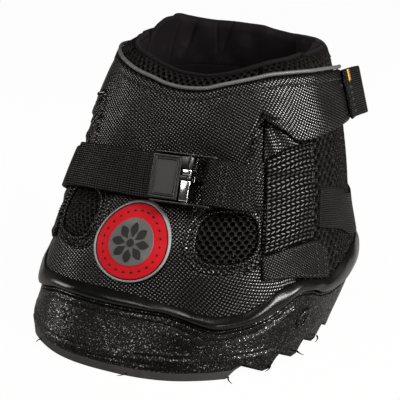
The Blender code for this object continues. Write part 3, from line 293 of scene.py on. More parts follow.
@dataclass(frozen=True)
class Form:
    """The skin that every soft piece lies on.

    At each level the outline is a rounded oblong of two halves: the sum of |x / side| and |y / reach|, each to the
    power of the squareness, is one. Centre, reaches and side are smooth curves up the boot.
    """

    height: float = 0.140
    toe_reach: float = 0.0884
    heel_reach: float = 0.0869
    half_width: float = 0.0753
    middle: float = 0.52
    squareness: float = 2.44
    levels: tuple[float, ...] = (0.000, 0.207, 0.393, 0.571, 0.750, 0.893, 1.036)
    toes: tuple[float, ...] = (1.000, 0.774, 0.614, 0.397, 0.286, 0.180, 0.078)
    heels: tuple[float, ...] = (0.742, 1.000, 0.967, 0.949, 0.954, 0.953, 0.947)
    widths: tuple[float, ...] = (0.948, 1.000, 0.932, 0.874, 0.798, 0.708, 0.616)

    def outline(self, level: Array) -> tuple[Array, Array, Array, Array]:
        """The outline's sizes, from the smooth curves through the tables.

        Args:
            level: height above the floor.

        Returns:
            Centre, reach to the toe, reach to the heel and half width.
        """
        places = np.asarray(level, float) / self.height
        toe = -self.toe_reach * through(self.levels, self.toes, places)
        heel = self.heel_reach * through(self.levels, self.heels, places)
        side = self.half_width * through(self.levels, self.widths, places)
        centre = toe + (heel - toe) * self.middle
        return centre, centre - toe, heel - centre, side

    def point(self, angle: Array, level: Array, out: Array | float = 0.0) -> Array:
        """Points of the skin, moved out square to the level outline.

        Args:
            angle: degrees round the boot.
            level: height above the floor.
            out: distance out of the skin, which is level.

        Returns:
            Points, with one more axis than the arguments.
        """
        angle, level, out = np.broadcast_arrays(*(np.asarray(value, float) for value in (angle, level, out)))
        centre, front, back, side = self.outline(level)
        across, along = np.sin(np.radians(angle)), -np.cos(np.radians(angle))
        reach = np.where(along < 0, front, back)
        power = self.squareness
        stretch = (np.abs(across / side) ** power + np.abs(along / reach) ** power) ** (-1 / power)
        x, y = stretch * across, stretch * along
        pull_x = np.sign(x) * np.abs(x / side) ** (power - 1) / side
        pull_y = np.sign(y) * np.abs(y / reach) ** (power - 1) / reach
        length = np.hypot(pull_x, pull_y)
        return np.stack([x + out * pull_x / length, y + centre + out * pull_y / length, level], -1)

    def directions(self, angle: Array, level: Array) -> tuple[Array, Array, Array, Array, Array]:
        """The skin's directions, from the differences between points close by.

        Args:
            angle: degrees round the boot.
            level: height above the floor.

        Returns:
            Unit vectors along, up and out of the skin, metres per degree and level per metre of slope.
        """
        turn, lift = 0.05, 0.0002
        along = (self.point(angle + turn, level) - self.point(angle - turn, level)) / (2 * turn)
        up = (self.point(angle, level + lift) - self.point(angle, level - lift)) / (2 * lift)
        per_degree, climb = np.linalg.norm(along, axis=-1), 1 / np.linalg.norm(up, axis=-1)
        along, up = unit(along), unit(up)
        return along, up, unit(np.cross(along, up)), per_degree, climb

    def way_out(self, angle: Array, level: Array) -> Array:
        """Unit vectors out of the skin."""
        return self.directions(angle, level)[2]

    def scales(self, angle: Array, level: Array) -> tuple[Array, Array]:
        """Metres per degree along the skin, and level per metre up its slope."""
        return self.directions(angle, level)[3:]

    def frame(self, angle: float, level: float, out: float = 0.0, upright: bool = False) -> Matrix:
        """A matrix whose axes run along the outline, up the skin and out of it at one place.

        Args:
            angle: degrees round the boot.
            level: height above the floor.
            out: distance out of the skin.
            upright: keeps the second axis on the line of equal angle, not the first in the level outline.

        Returns:
            The matrix from the place's own frame to the boot's.
        """
        along, up, outward_way = self.directions(angle, level)[:3]
        if upright:
            along = np.cross(up, outward_way)
        else:
            up = np.cross(outward_way, along)
        place = self.point(angle, level, out)
        return Matrix([[along[k], up[k], outward_way[k], place[k]] for k in range(3)] + [[0, 0, 0, 1]])


FORM = Form()
HEIGHT = FORM.height
GROOVE = Line((
    (-180, 0.225), (-135, 0.225), (-122, 0.215), (-112, 0.170), (-101, 0.160), (-93, 0.163), (-80, 0.184),
    (-72, 0.200), (-65, 0.170), (-52, 0.132), (-44, 0.150), (-36, 0.173), (-29, 0.189), (-18, 0.197), (0, 0.200),
    (14, 0.202), (21, 0.192), (28, 0.172), (35, 0.158), (42, 0.162), (49, 0.173), (56, 0.193), (60, 0.211),
    (65, 0.224), (72, 0.214), (80, 0.184), (93, 0.163), (101, 0.160), (112, 0.170), (122, 0.215), (135, 0.225),
    (180, 0.225),
))
RAND_TOP = Line((
    (-180, 0.275), (-120, 0.272), (-108, 0.268), (-95, 0.246), (-84, 0.226), (-72, 0.250), (-62, 0.225),
    (-49, 0.207), (-30, 0.228), (-10, 0.243), (0, 0.243), (14, 0.231), (21, 0.224), (28, 0.208), (34, 0.200),
    (41, 0.203), (48, 0.225), (55, 0.258), (64, 0.268), (75, 0.246), (84, 0.226), (95, 0.246), (108, 0.268),
    (120, 0.272), (180, 0.275),
))
PIPING = Line((
    (-112, 0.882), (-92, 0.909), (-68, 0.929), (-52, 0.935), (-38, 0.927), (-26, 0.914), (-15, 0.904), (-5, 0.891),
    (5, 0.886), (16, 0.890), (28, 0.909), (40, 0.925), (52, 0.935), (68, 0.929), (92, 0.909), (112, 0.882),
))
FRONT_RIM = Line((
    (-112, 0.966), (-84, 0.975), (-58, 0.977), (-42, 0.973), (-25, 0.962), (-13, 0.948), (1, 0.934), (13, 0.933),
    (25, 0.942), (35, 0.955), (46, 0.969), (58, 0.977), (84, 0.975), (112, 0.966),
))
REAR_RIM = Line((
    (-180, 0.967), (-162, 0.970), (-147, 0.973), (-133, 0.986), (-125, 0.997), (-114, 1.013), (-101, 1.014),
    (-96, 1.004), (-91, 0.985), (-85, 0.950), (85, 0.945), (95, 0.960), (104, 0.970), (112, 0.974), (121, 0.972),
    (131, 0.966), (150, 0.957), (159, 0.954), (171, 0.959), (180, 0.967),
))
ARM_LOW = Line((
    (46, 0.788), (50, 0.784), (57, 0.759), (64, 0.721), (71, 0.714), (82, 0.718), (98, 0.714), (115, 0.700),
))
STRAP_CENTRE = Line((
    (-180, 0.370), (-130, 0.362), (-119, 0.360), (-104, 0.391), (-80, 0.440), (-65, 0.490), (-55, 0.522),
    (-41, 0.561), (-30, 0.579), (-21, 0.587), (-8, 0.595), (7, 0.598), (20, 0.597), (30, 0.590), (38, 0.582),
    (44, 0.575), (60, 0.538), (77, 0.481), (96, 0.428), (104, 0.391), (119, 0.360), (130, 0.362), (180, 0.370),
))
SIDE_TOP = Line(((46, 0.660), (53, 0.689), (60, 0.702), (66, 0.706), (180, 0.706)))
ANCHOR_TOP = Line(((48, 0.376), (65, 0.387), (75, 0.377), (80, 0.350), (87, 0.325)))
ANCHOR_LOW = Line(((48, 0.300), (60, 0.285), (70, 0.262), (82, 0.225)))
SHIELD_END = 46.3
ARM_START = 46.7
ARM_END = 112.0
LAP_START = 85.0


# Meshes


def show(name: str, data: bpy.types.ID | None) -> Object:
    """Puts a new object in the scene.

    Args:
        name: the object's name.
        data: what it holds, or None for an empty.

    Returns:
        The object.
    """
    obj = bpy.data.objects.new(name, data)
    bpy.context.scene.collection.objects.link(obj)
    return obj


def shade(mesh: bpy.types.Mesh, sharp: float) -> None:
    """Shades a mesh smooth but for edges that bend more than an angle."""
    mesh.shade_smooth()
    mesh.set_sharp_from_angle(angle=radians(sharp))


@contextmanager
def opened(mesh: bpy.types.Mesh) -> Iterator[bmesh.types.BMesh]:
    """Opens a mesh for editing, and puts the result back into it.

    Args:
        mesh: the mesh.

    Yields:
        The mesh's editable copy.
    """
    shape = bmesh.new()
    shape.from_mesh(mesh)
    yield shape
    shape.to_mesh(mesh)
    shape.free()


def outward(obj: Object) -> None:
    """Welds doubled points and turns every face of a closed piece outwards.

    Args:
        obj: the piece.
    """
    with opened(obj.data) as shape:
        bmesh.ops.remove_doubles(shape, verts=shape.verts, dist=1e-7)
        bmesh.ops.recalc_face_normals(shape, faces=shape.faces)


def close_ends(obj: Object) -> None:
    """Fills the small holes that are left where a grid's first and last rows ring a point.

    Args:
        obj: the piece.
    """
    with opened(obj.data) as shape:
        bmesh.ops.holes_fill(shape, edges=[edge for edge in shape.edges if edge.is_boundary], sides=0)
        bmesh.ops.recalc_face_normals(shape, faces=shape.faces)


def grid_quads(rows: int, columns: int, loop: bool = False, ring: bool = False) -> Array:
    """Corner numbers of the quads of a grid that runs row by row: right, then up.

    Args:
        rows: how many rows of points.
        columns: how many points in a row.
        loop: whether the last column joins the first.
        ring: whether the last row joins the first.

    Returns:
        Four numbers for each quad.
    """
    wide, high = np.arange(columns if loop else columns - 1), np.arange(rows if ring else rows - 1)
    row, column = np.meshgrid(high, wide, indexing="ij")
    right, above = (column + 1) % columns, (row + 1) % rows
    corners = [row * columns + column, row * columns + right, above * columns + right, above * columns + column]
    return np.stack(corners, -1).reshape(-1, 4)


def make_mesh(name: str, points: Array, quads: Array, cloth: Array, sharp: float = 42.0) -> Object:
    """Puts arrays into a mesh object, shaded smooth but for its sharp edges.

    Args:
        name: the object's name.
        points: the vertices.
        quads: corner numbers, four to a face.
        cloth: a cloth coordinate, in metres, for each vertex.
        sharp: edges that bend more than this many degrees stay sharp.

    Returns:
        The object, linked to the scene.
    """
    mesh = bpy.data.meshes.new(name)
    points = np.ascontiguousarray(points.reshape(-1, 3), dtype=np.float32)
    corners = np.ascontiguousarray(quads, dtype=np.int32).ravel()
    mesh.vertices.add(len(points))
    mesh.vertices.foreach_set("co", points.ravel())
    mesh.loops.add(corners.size)
    mesh.loops.foreach_set("vertex_index", corners)
    mesh.polygons.add(len(quads))
    mesh.polygons.foreach_set("loop_start", np.arange(0, corners.size, 4, dtype=np.int32))
    mesh.update(calc_edges=True)
    layer = mesh.uv_layers.new(name="cloth")
    layer.uv.foreach_set("vector", cloth.reshape(-1, 2)[corners].astype(np.float32).ravel())
    shade(mesh, sharp)
    return show(name, mesh)


def shell(name: str, outer: Array, inner: Array, cloth: Array, loop: bool = False, sharp: float = 42.0) -> Object:
    """A closed piece between an outer grid and an inner grid of the same shape.

    Args:
        name: the object's name.
        outer: points whose columns run counterclockwise seen from above and whose rows run up.
        inner: the inner side's points.
        cloth: a cloth coordinate for each point of either side.
        loop: whether the last column joins the first.
        sharp: the angle past which an edge stays sharp.

    Returns:
        The object.
    """
    rows, columns = outer.shape[:2]
    half, top = rows * columns, (rows - 1) * columns
    quads = grid_quads(rows, columns, loop)
    here = np.arange(columns if loop else columns - 1)
    there = (here + 1) % columns
    faces = [quads, quads[:, ::-1] + half, np.stack([here, here + half, there + half, there], -1)]
    faces.append(np.stack([top + here, top + there, top + there + half, top + here + half], -1))
    if not loop:
        low = np.arange(rows - 1) * columns
        high = low + columns
        faces.append(np.stack([low, high, high + half, low + half], -1))
        low, high = low + columns - 1, high + columns - 1
        faces.append(np.stack([low, low + half, high + half, high], -1))
    points = np.concatenate([outer.reshape(-1, 3), inner.reshape(-1, 3)])
    return make_mesh(name, points, np.concatenate(faces), np.concatenate([cloth.reshape(-1, 2)] * 2), sharp)


def closed_rings(name: str, points: Array) -> Object:
    """A closed piece of rings, whose first and last rings close on a point each, their mean.

    Args:
        name: the object's name.
        points: a grid of points, one row for each ring.

    Returns:
        The object.
    """
    rows, columns = points.shape[:2]
    here = np.arange(columns)
    there, first, top = (here + 1) % columns, np.full(columns, rows * columns), (rows - 1) * columns
    caps = np.concatenate([np.stack([first, there, here], -1), np.stack([first + 1, top + here, top + there], -1)])
    ends = np.stack([points[0].mean(axis=0), points[-1].mean(axis=0)])
    mesh = bpy.data.meshes.new(name)
    faces = grid_quads(rows, columns, True).tolist() + caps.tolist()
    mesh.from_pydata(np.concatenate([points.reshape(-1, 3), ends]).tolist(), [], faces)
    shade(mesh, 50)
    obj = show(name, mesh)
    outward(obj)
    return obj


def cloth_map(points: Array, start: tuple[float, float] = (0.0, 0.0)) -> Array:
    """Cloth coordinates of a grid: the length walked along its middle row, and up each of its columns.

    Args:
        points: the grid.
        start: the coordinate of its first corner.

    Returns:
        Two numbers for each point.
    """
    rise = np.linalg.norm(np.diff(points, axis=0), axis=-1)
    up = np.concatenate([np.zeros((1, points.shape[1])), np.cumsum(rise, axis=0)])
    along = np.broadcast_to(walked(points[len(points) // 2]), up.shape)
    return np.stack([along + start[0], up + start[1]], -1)


def merge(name: str, pieces: Sequence[Object]) -> Object:
    """One object from several, which keeps their faces, cloth coordinates and materials.

    Args:
        name: the new object's name.
        pieces: the objects, which are taken away.

    Returns:
        The new object.
    """
    shape = bmesh.new()
    slots: list[bpy.types.Material] = []
    for piece in pieces:
        first = len(shape.faces)
        shape.from_mesh(piece.data)
        shape.faces.ensure_lookup_table()
        for face in shape.faces[first:]:
            material = piece.data.materials[face.material_index] if piece.data.materials else None
            if material and material not in slots:
                slots.append(material)
            face.material_index = slots.index(material) if material else 0
        bpy.data.objects.remove(piece)
    mesh = bpy.data.meshes.new(name)
    shape.to_mesh(mesh)
    shape.free()
    for material in slots:
        mesh.materials.append(material)
    return show(name, mesh)


def tube(name: str, path: Array, radius: Array | float, sides: int, loop: bool = False) -> Object:
    """A cord along a path: circles square to it, with round closed ends.

    Args:
        name: the object's name.
        path: points along the middle.
        radius: one radius, or one for each point.
        sides: points round the cord.
        loop: whether the path closes.

    Returns:
        The object.
    """
    count = len(path)
    ahead = unit(np.roll(path, -1, 0) - np.roll(path, 1, 0) if loop else np.gradient(path, axis=0))
    guide = path - path.mean(axis=0) if loop else np.broadcast_to((0.0, 0.0, 1.0), path.shape)
    along_guide = np.abs(np.sum(ahead * unit(guide + 1e-9), -1, keepdims=True)) > 0.98
    side = unit(np.cross(ahead, np.where(along_guide, (1.0, 0.0, 0.0), guide)))
    rise = np.cross(side, ahead)
    size = np.broadcast_to(np.asarray(radius, float), count)
    turns = full_turn(sides)
    ring = np.cos(turns)[None, :, None] * side[:, None] + np.sin(turns)[None, :, None] * rise[:, None]
    points = path[:, None] + size[:, None, None] * ring
    cloth = np.stack(np.broadcast_arrays(walked(path)[:, None], (turns * size.mean())[None]), -1)
    if not loop:
        caps = []
        for row, sign in ((0, -1), (count - 1, 1)):
            for share in (0.55, 0.85):
                reach = np.sqrt(1 - share**2)
                caps.append(path[row] + sign * ahead[row] * size[row] * share + size[row] * reach * ring[row])
            caps.append(np.broadcast_to(path[row] + sign * ahead[row] * size[row], (sides, 3)))
        points = np.concatenate([np.stack(caps[2::-1]), points, np.stack(caps[3:])])
        cloth = np.concatenate([cloth[:1]] * 3 + [cloth] + [cloth[-1:]] * 3)
    obj = make_mesh(name, points, grid_quads(len(points), sides, True, loop), cloth)
    outward(obj)
    return obj


def mark_pit_shade(obj: Object, depth: Array) -> None:
    """Keeps how deep in a hole each of the first points lies, from 0 to 1, for the mesh's finish to paint shade into
    the hole.

    Args:
        obj: the mesh's object.
        depth: a number for each of its first points.
    """
    values = np.zeros(len(obj.data.vertices), np.float32)
    values[: depth.size] = depth.ravel()
    obj.data.attributes.new("pit", "FLOAT", "POINT").data.foreach_set("value", values)


def beads(name: str, places: Array, along: Array, normal: Array, size: tuple[float, float, float]) -> Object:
    """Many small pads, each the upper part of an egg, such as stitches or studs.

    Args:
        name: the object's name.
        places: the middle of each pad.
        along: its long direction.
        normal: its direction out of the surface.
        size: half its length, half its width and its height.

    Returns:
        One object that holds them all.
    """
    sides = 8
    turns = np.arange(sides) * np.pi / 4
    layers = ((0.0, -0.5), (1.0, -0.5), (0.92, 0.25), (0.55, 0.8), (0.0, 1.0))
    egg = np.concatenate([
        np.stack([reach * np.cos(turns), reach * np.sin(turns), np.full(sides, high)], -1) for reach, high in layers
    ])
    ahead = unit(along - normal * np.sum(along * normal, -1, keepdims=True))
    axes = ahead, np.cross(normal, ahead), normal
    points = places[:, None]
    for k, (axis, reach) in enumerate(zip(axes, size)):
        points = points + egg[None, :, k : k + 1] * axis[:, None] * reach
    offsets = np.arange(len(places))[:, None, None] * len(egg)
    faces = (grid_quads(len(layers), sides, True)[None] + offsets).reshape(-1, 4)
    cloth = np.broadcast_to(egg[None, :, :2] * np.array(size[:2]), (*points.shape[:2], 2))
    obj = make_mesh(name, points, faces, cloth, 80)
    outward(obj)
    return obj


def stitch_row(name: str, path: Array, normal: Array, length: float = STITCH) -> Object:
    """A row of thread stitches along a path, evenly spaced.

    Args:
        name: the object's name.
        path: points along the seam.
        normal: the surface's direction out at those points.
        length: one stitch's length.

    Returns:
        The object that holds the row.
    """
    gap, thread = 0.0009, 0.00042
    runs = walked(path)
    count = max(2, int(runs[-1] / (length + gap)))
    middles = (np.arange(count) + 0.5) * runs[-1] / count
    reach = length / 2

    def at(values: Array, places: Array) -> Array:
        """Vectors between those of the path, by the length walked."""
        return np.stack([np.interp(places, runs, values[:, k]) for k in range(3)], -1)

    along = at(path, middles + reach) - at(path, middles - reach)
    return beads(name, at(path, middles), unit(along), unit(at(normal, middles)), (reach, thread, thread * 1.1))


def seam(name: str, angle: Array, level: Array, out: Array | float, length: float = STITCH) -> Object:
    """A row of stitches that lies over the skin.

    Args:
        name: the object's name.
        angle: angles along the row.
        level: levels along it.
        out: its distance out of the skin.
        length: one stitch's length.

    Returns:
        The object that holds the row.
    """
    return stitch_row(name, FORM.point(angle, level, out), FORM.way_out(angle, level), length)


# Finishes


class Graph:
    """A node tree that is built up by short calls."""

    def __init__(self, tree: bpy.types.NodeTree) -> None:
        """Keeps the tree."""
        self.tree = tree

    def feed(self, node: bpy.types.Node, **values: object) -> None:
        """Links or sets a node's inputs.

        Args:
            node: the node.
            values: a socket or a value for each input, named with low lines for spaces or as n and its number.
        """
        for name, value in values.items():
            socket = node.inputs[int(name[1:]) if name[1:].isdigit() else name.replace("_", " ")]
            if isinstance(value, Socket):
                self.tree.links.new(value, socket)
            else:
                socket.default_value = value

    def add(self, kind: str, settings: dict[str, object] | None = None, **values: object) -> bpy.types.Node:
        """A new node.

        Args:
            kind: its type, without the first part that shader nodes share.
            settings: its own settings.
            values: its inputs, as feed reads them.

        Returns:
            The node.
        """
        node = self.tree.nodes.new(kind if kind.startswith("NodeGroup") else f"ShaderNode{kind}")
        for name, value in (settings or {}).items():
            setattr(node, name, value)
        self.feed(node, **values)
        return node

    def math(self, operation: str, *values: object) -> Socket:
        """A sum, product or other operation on up to three values."""
        inputs = {f"n{number}": value for number, value in enumerate(values)}
        return self.add("Math", {"operation": operation}, **inputs).outputs[0]

    def plus(self, first: object, second: object) -> Socket:
        """The sum of two values."""
        return self.math("ADD", first, second)

    def less(self, first: object, second: object) -> Socket:
        """The first value less the second."""
        return self.math("SUBTRACT", first, second)

    def times(self, first: object, second: object) -> Socket:
        """The product of two values."""
        return self.math("MULTIPLY", first, second)

    def ridge(self, value: object, power: float) -> Socket:
        """A ridge to each unit of a value: a power of the size of the sine of half a turn times the value."""
        return self.math("POWER", self.math("ABSOLUTE", self.math("SINE", self.times(value, np.pi))), power)

    def noise(self, place: object, scale: object, detail: float = 2.0, roughness: float = 0.5) -> Socket:
        """A soft noise between 0 and 1."""
        return self.add("TexNoise", Vector=place, Scale=scale, Detail=detail, Roughness=roughness).outputs["Fac"]

    def ramp(self, value: object, low: float, high: float) -> Socket:
        """The value mapped smoothly from low..high to 0..1."""
        node = self.add("MapRange", {"interpolation_type": "SMOOTHSTEP"}, Value=value, From_Min=low, From_Max=high)
        return node.outputs["Result"]

    def mix(self, share: object, first: object, second: object) -> Socket:
        """A colour between two."""
        return self.add("Mix", {"data_type": "RGBA"}, n0=share, n6=first, n7=second).outputs[2]


class Pattern(Enum):
    """The relief that a finish carries, by the name of its node group."""

    BASKET = "basket weave"
    RIB = "ribbed webbing"
    GRAIN = "moulded grain"


def node_group(pattern: Pattern, mask: str, **sizes: float) -> tuple[Graph, bpy.types.NodeOutputs, bpy.types.Node]:
    """A shader node group that reads a place and named sizes, and gives a height and a mask.

    Args:
        pattern: the pattern that it makes.
        mask: the name of the mask.
        sizes: each size's name and default.

    Returns:
        A graph over the group, its inputs and the node that takes its outputs.
    """
    tree = bpy.data.node_groups.new(pattern.value, "ShaderNodeTree")
    tree.interface.new_socket("Place", in_out="INPUT", socket_type="NodeSocketVector")
    for label, default in sizes.items():
        tree.interface.new_socket(label, in_out="INPUT", socket_type="NodeSocketFloat").default_value = default
    for label in ("Height", mask):
        tree.interface.new_socket(label, in_out="OUTPUT", socket_type="NodeSocketFloat")
    graph = Graph(tree)
    return graph, graph.add("NodeGroupInput").outputs, graph.add("NodeGroupOutput")


def weave_group() -> None:
    """Plain weave: one thick yarn to a cell, lying along and across by turns, whose crossings stand as domes."""
    graph, given, sink = node_group(Pattern.BASKET, "Crown", Pitch=0.0016, Turn=0.0, Uneven=0.08)
    stray = graph.add("TexNoise", Vector=given["Place"], Scale=260.0).outputs["Fac"]
    turned = graph.add("VectorRotate", {"rotation_type": "Z_AXIS"}, Vector=given["Place"], Angle=given["Turn"])
    split = graph.add("SeparateXYZ", n0=turned.outputs[0]).outputs
    drift = graph.times(graph.less(stray, 0.5), given["Uneven"])
    u, v = (graph.plus(graph.math("DIVIDE", split[k], given["Pitch"]), drift) for k in range(2))
    parity = graph.math("FLOORED_MODULO", graph.plus(graph.math("FLOOR", u), graph.math("FLOOR", v)), 2.0)

    def lying(across: Socket, along: Socket) -> Socket:
        """Height of a yarn: the root of the sine across it, times the sine along it."""
        return graph.times(graph.ridge(across, 0.45), graph.ridge(along, 0.9))

    over, under = lying(u, v), graph.times(lying(v, u), 0.90)
    height = graph.plus(graph.times(over, graph.less(1.0, parity)), graph.times(under, parity))
    graph.feed(sink, Height=height, Crown=graph.ramp(height, 0.52, 0.94))


def rib_group() -> None:
    """Webbing or elastic: rows of short slanted floats, side by side, that turn about at every other row."""
    graph, given, sink = node_group(Pattern.RIB, "Crown", Rib=0.0011, Float=0.0018, Slant=1.0)
    split = graph.add("SeparateXYZ", n0=given["Place"]).outputs
    rows = graph.math("DIVIDE", split[1], given["Rib"])
    number = graph.math("FLOOR", rows)
    sign = graph.less(graph.times(graph.math("FLOORED_MODULO", number, 2.0), 2.0), 1.0)
    inside = graph.less(graph.less(rows, number), 0.5)
    lean = graph.times(graph.times(inside, sign), given["Slant"])
    shift = graph.times(graph.math("SINE", graph.times(number, 12.9)), 0.15)
    walk = graph.plus(graph.plus(graph.math("DIVIDE", split[0], given["Float"]), lean), shift)
    ridge, dots = graph.ridge(rows, 0.5), graph.ridge(walk, 0.6)
    height = graph.times(ridge, graph.plus(graph.times(dots, 0.6), 0.4))
    graph.feed(sink, Height=height, Crown=graph.ramp(height, 0.7, 0.97))


def grain_group() -> None:
    """Moulded grain: fine noise over coarse noise, with scattered scuffs or, where it is wet, small shining drops."""
    graph, given, sink = node_group(Pattern.GRAIN, "Scuff", Fine=900.0, Coarse=60.0, Wet=0.0)
    fine = graph.noise(given["Place"], given["Fine"], 3.0, 0.6)
    coarse = graph.noise(given["Place"], given["Coarse"], 4.0, 0.55)
    graph.feed(sink, Height=graph.plus(graph.times(fine, 0.7), graph.times(coarse, 0.6)))
    drops = graph.times(graph.ramp(graph.noise(given["Place"], 1500.0, 1.0), 0.59, 0.68), given["Wet"])
    dry = graph.less(1.0, given["Wet"])
    scuff = graph.times(graph.ramp(coarse, 0.52, 0.72), dry)
    graph.feed(sink, Scuff=graph.math("MAXIMUM", drops, scuff))


@dataclass(frozen=True)
class Relief:
    """A fine relief: its pattern, the pattern's sizes and how deep it is."""

    pattern: Pattern
    sizes: tuple[tuple[str, float], ...]
    depth: float


def grain(fine: float, coarse: float, depth: float, wet: float = 0.0) -> Relief:
    """A moulded grain, in grains to the metre, with drops on it where it is wet."""
    return Relief(Pattern.GRAIN, (("Fine", fine), ("Coarse", coarse), ("Wet", wet)), depth)


def ribs(rib: float, long: float, depth: float, slant: float = 1.0) -> Relief:
    """A ribbed cloth: the width of a rib, the length of a float and its slant."""
    return Relief(Pattern.RIB, (("Rib", rib), ("Float", long), ("Slant", slant)), depth)


def basket(pitch: float, turn: float, uneven: float, depth: float) -> Relief:
    """A basket weave: the width of a cell, the cloth's turn in radians and how uneven it is."""
    return Relief(Pattern.BASKET, (("Pitch", pitch), ("Turn", turn), ("Uneven", uneven)), depth)


@dataclass(frozen=True)
class Finish:
    """A surface finish: colour, roughness and shine in hollows and on crowns, its relief and its dust. On woven
    finishes the darker hollows are painted shade between the yarns, and warm crowns carry painted highlight colour.
    """

    name: str
    hollow: tuple[float, float, float]
    crown: tuple[float, float, float]
    rough: tuple[float, float]
    shine: tuple[float, float]
    relief: Relief
    dust: float
    on_cloth: bool = True
    pits: bool = False
    # Paints shade into the holes of an open mesh: near black and without shine, by the points' pit depth.
    metallic: float = 0.0
    sheen: float = 0.0

    def make(self) -> bpy.types.Material:
        """The material of this finish, made once. Everything goes from hollow to crown by the relief's mask, which on
        woven reliefs paints shade into the hollows between the yarns.

        Returns:
            The material.
        """
        found = bpy.data.materials.get(self.name)
        if found:
            return found
        material = bpy.data.materials.new(self.name)
        material.use_nodes = True
        graph = Graph(material.node_tree)
        shader = material.node_tree.nodes["Principled BSDF"]
        if self.on_cloth:
            place = graph.add("UVMap", {"uv_map": "cloth"}).outputs[0]
        else:
            place = graph.add("TexCoord").outputs["Object"]
        group = bpy.data.node_groups[self.relief.pattern.value]
        relief = graph.add("Group", {"node_tree": group}, Place=place, **dict(self.relief.sizes))
        mask = relief.outputs[1]
        spot = graph.add("TexCoord").outputs["Object"]
        cloud = graph.noise(spot, 45.0, 4.0, 0.6)
        fleck = graph.ramp(graph.noise(spot, 1400.0, 1.0), 0.62, 0.80)
        # Colour from hollow to crown: on woven reliefs the dark hollows are painted shade between the yarns.
        tone = graph.mix(mask, (*self.hollow, 1), (*self.crown, 1))
        # Painted shade: holes go near black and lose their crown and shine by how deep they lie.
        if self.pits:
            pit = graph.add("Attribute", {"attribute_name": "pit"}).outputs["Fac"]
            tone = graph.mix(pit, tone, (0.0003, 0.0003, 0.0003, 1))
            mask = graph.times(mask, graph.less(1.0, pit))
        pale_share = graph.times(graph.ramp(cloud, 0.45, 0.75), self.dust)
        pale_share = graph.plus(pale_share, graph.times(fleck, self.dust * 0.5))
        pale = tuple(min(1.0, 0.05 + 1.6 * part) for part in self.crown)
        (rough_low, rough_high), (low, high) = self.rough, self.shine
        rough = graph.plus(graph.times(mask, rough_high - rough_low), rough_low)
        rough = graph.plus(rough, graph.times(graph.less(cloud, 0.5), 0.18))
        lift = graph.add("Bump", Strength=1.0, Distance=self.relief.depth, Height=relief.outputs[0])
        graph.feed(
            shader, Base_Color=graph.mix(pale_share, tone, (*pale, 1)), Roughness=rough, Metallic=self.metallic,
            Specular_IOR_Level=graph.math("MULTIPLY_ADD", mask, high - low, low), Sheen_Weight=self.sheen,
            Normal=lift.outputs[0],
        )
        return material


def grey(value: float, warm: float = 0.0) -> tuple[float, float, float]:
    """A grey, made warmer by the second number."""
    return value * (1 + warm), value, value * (1 - warm)


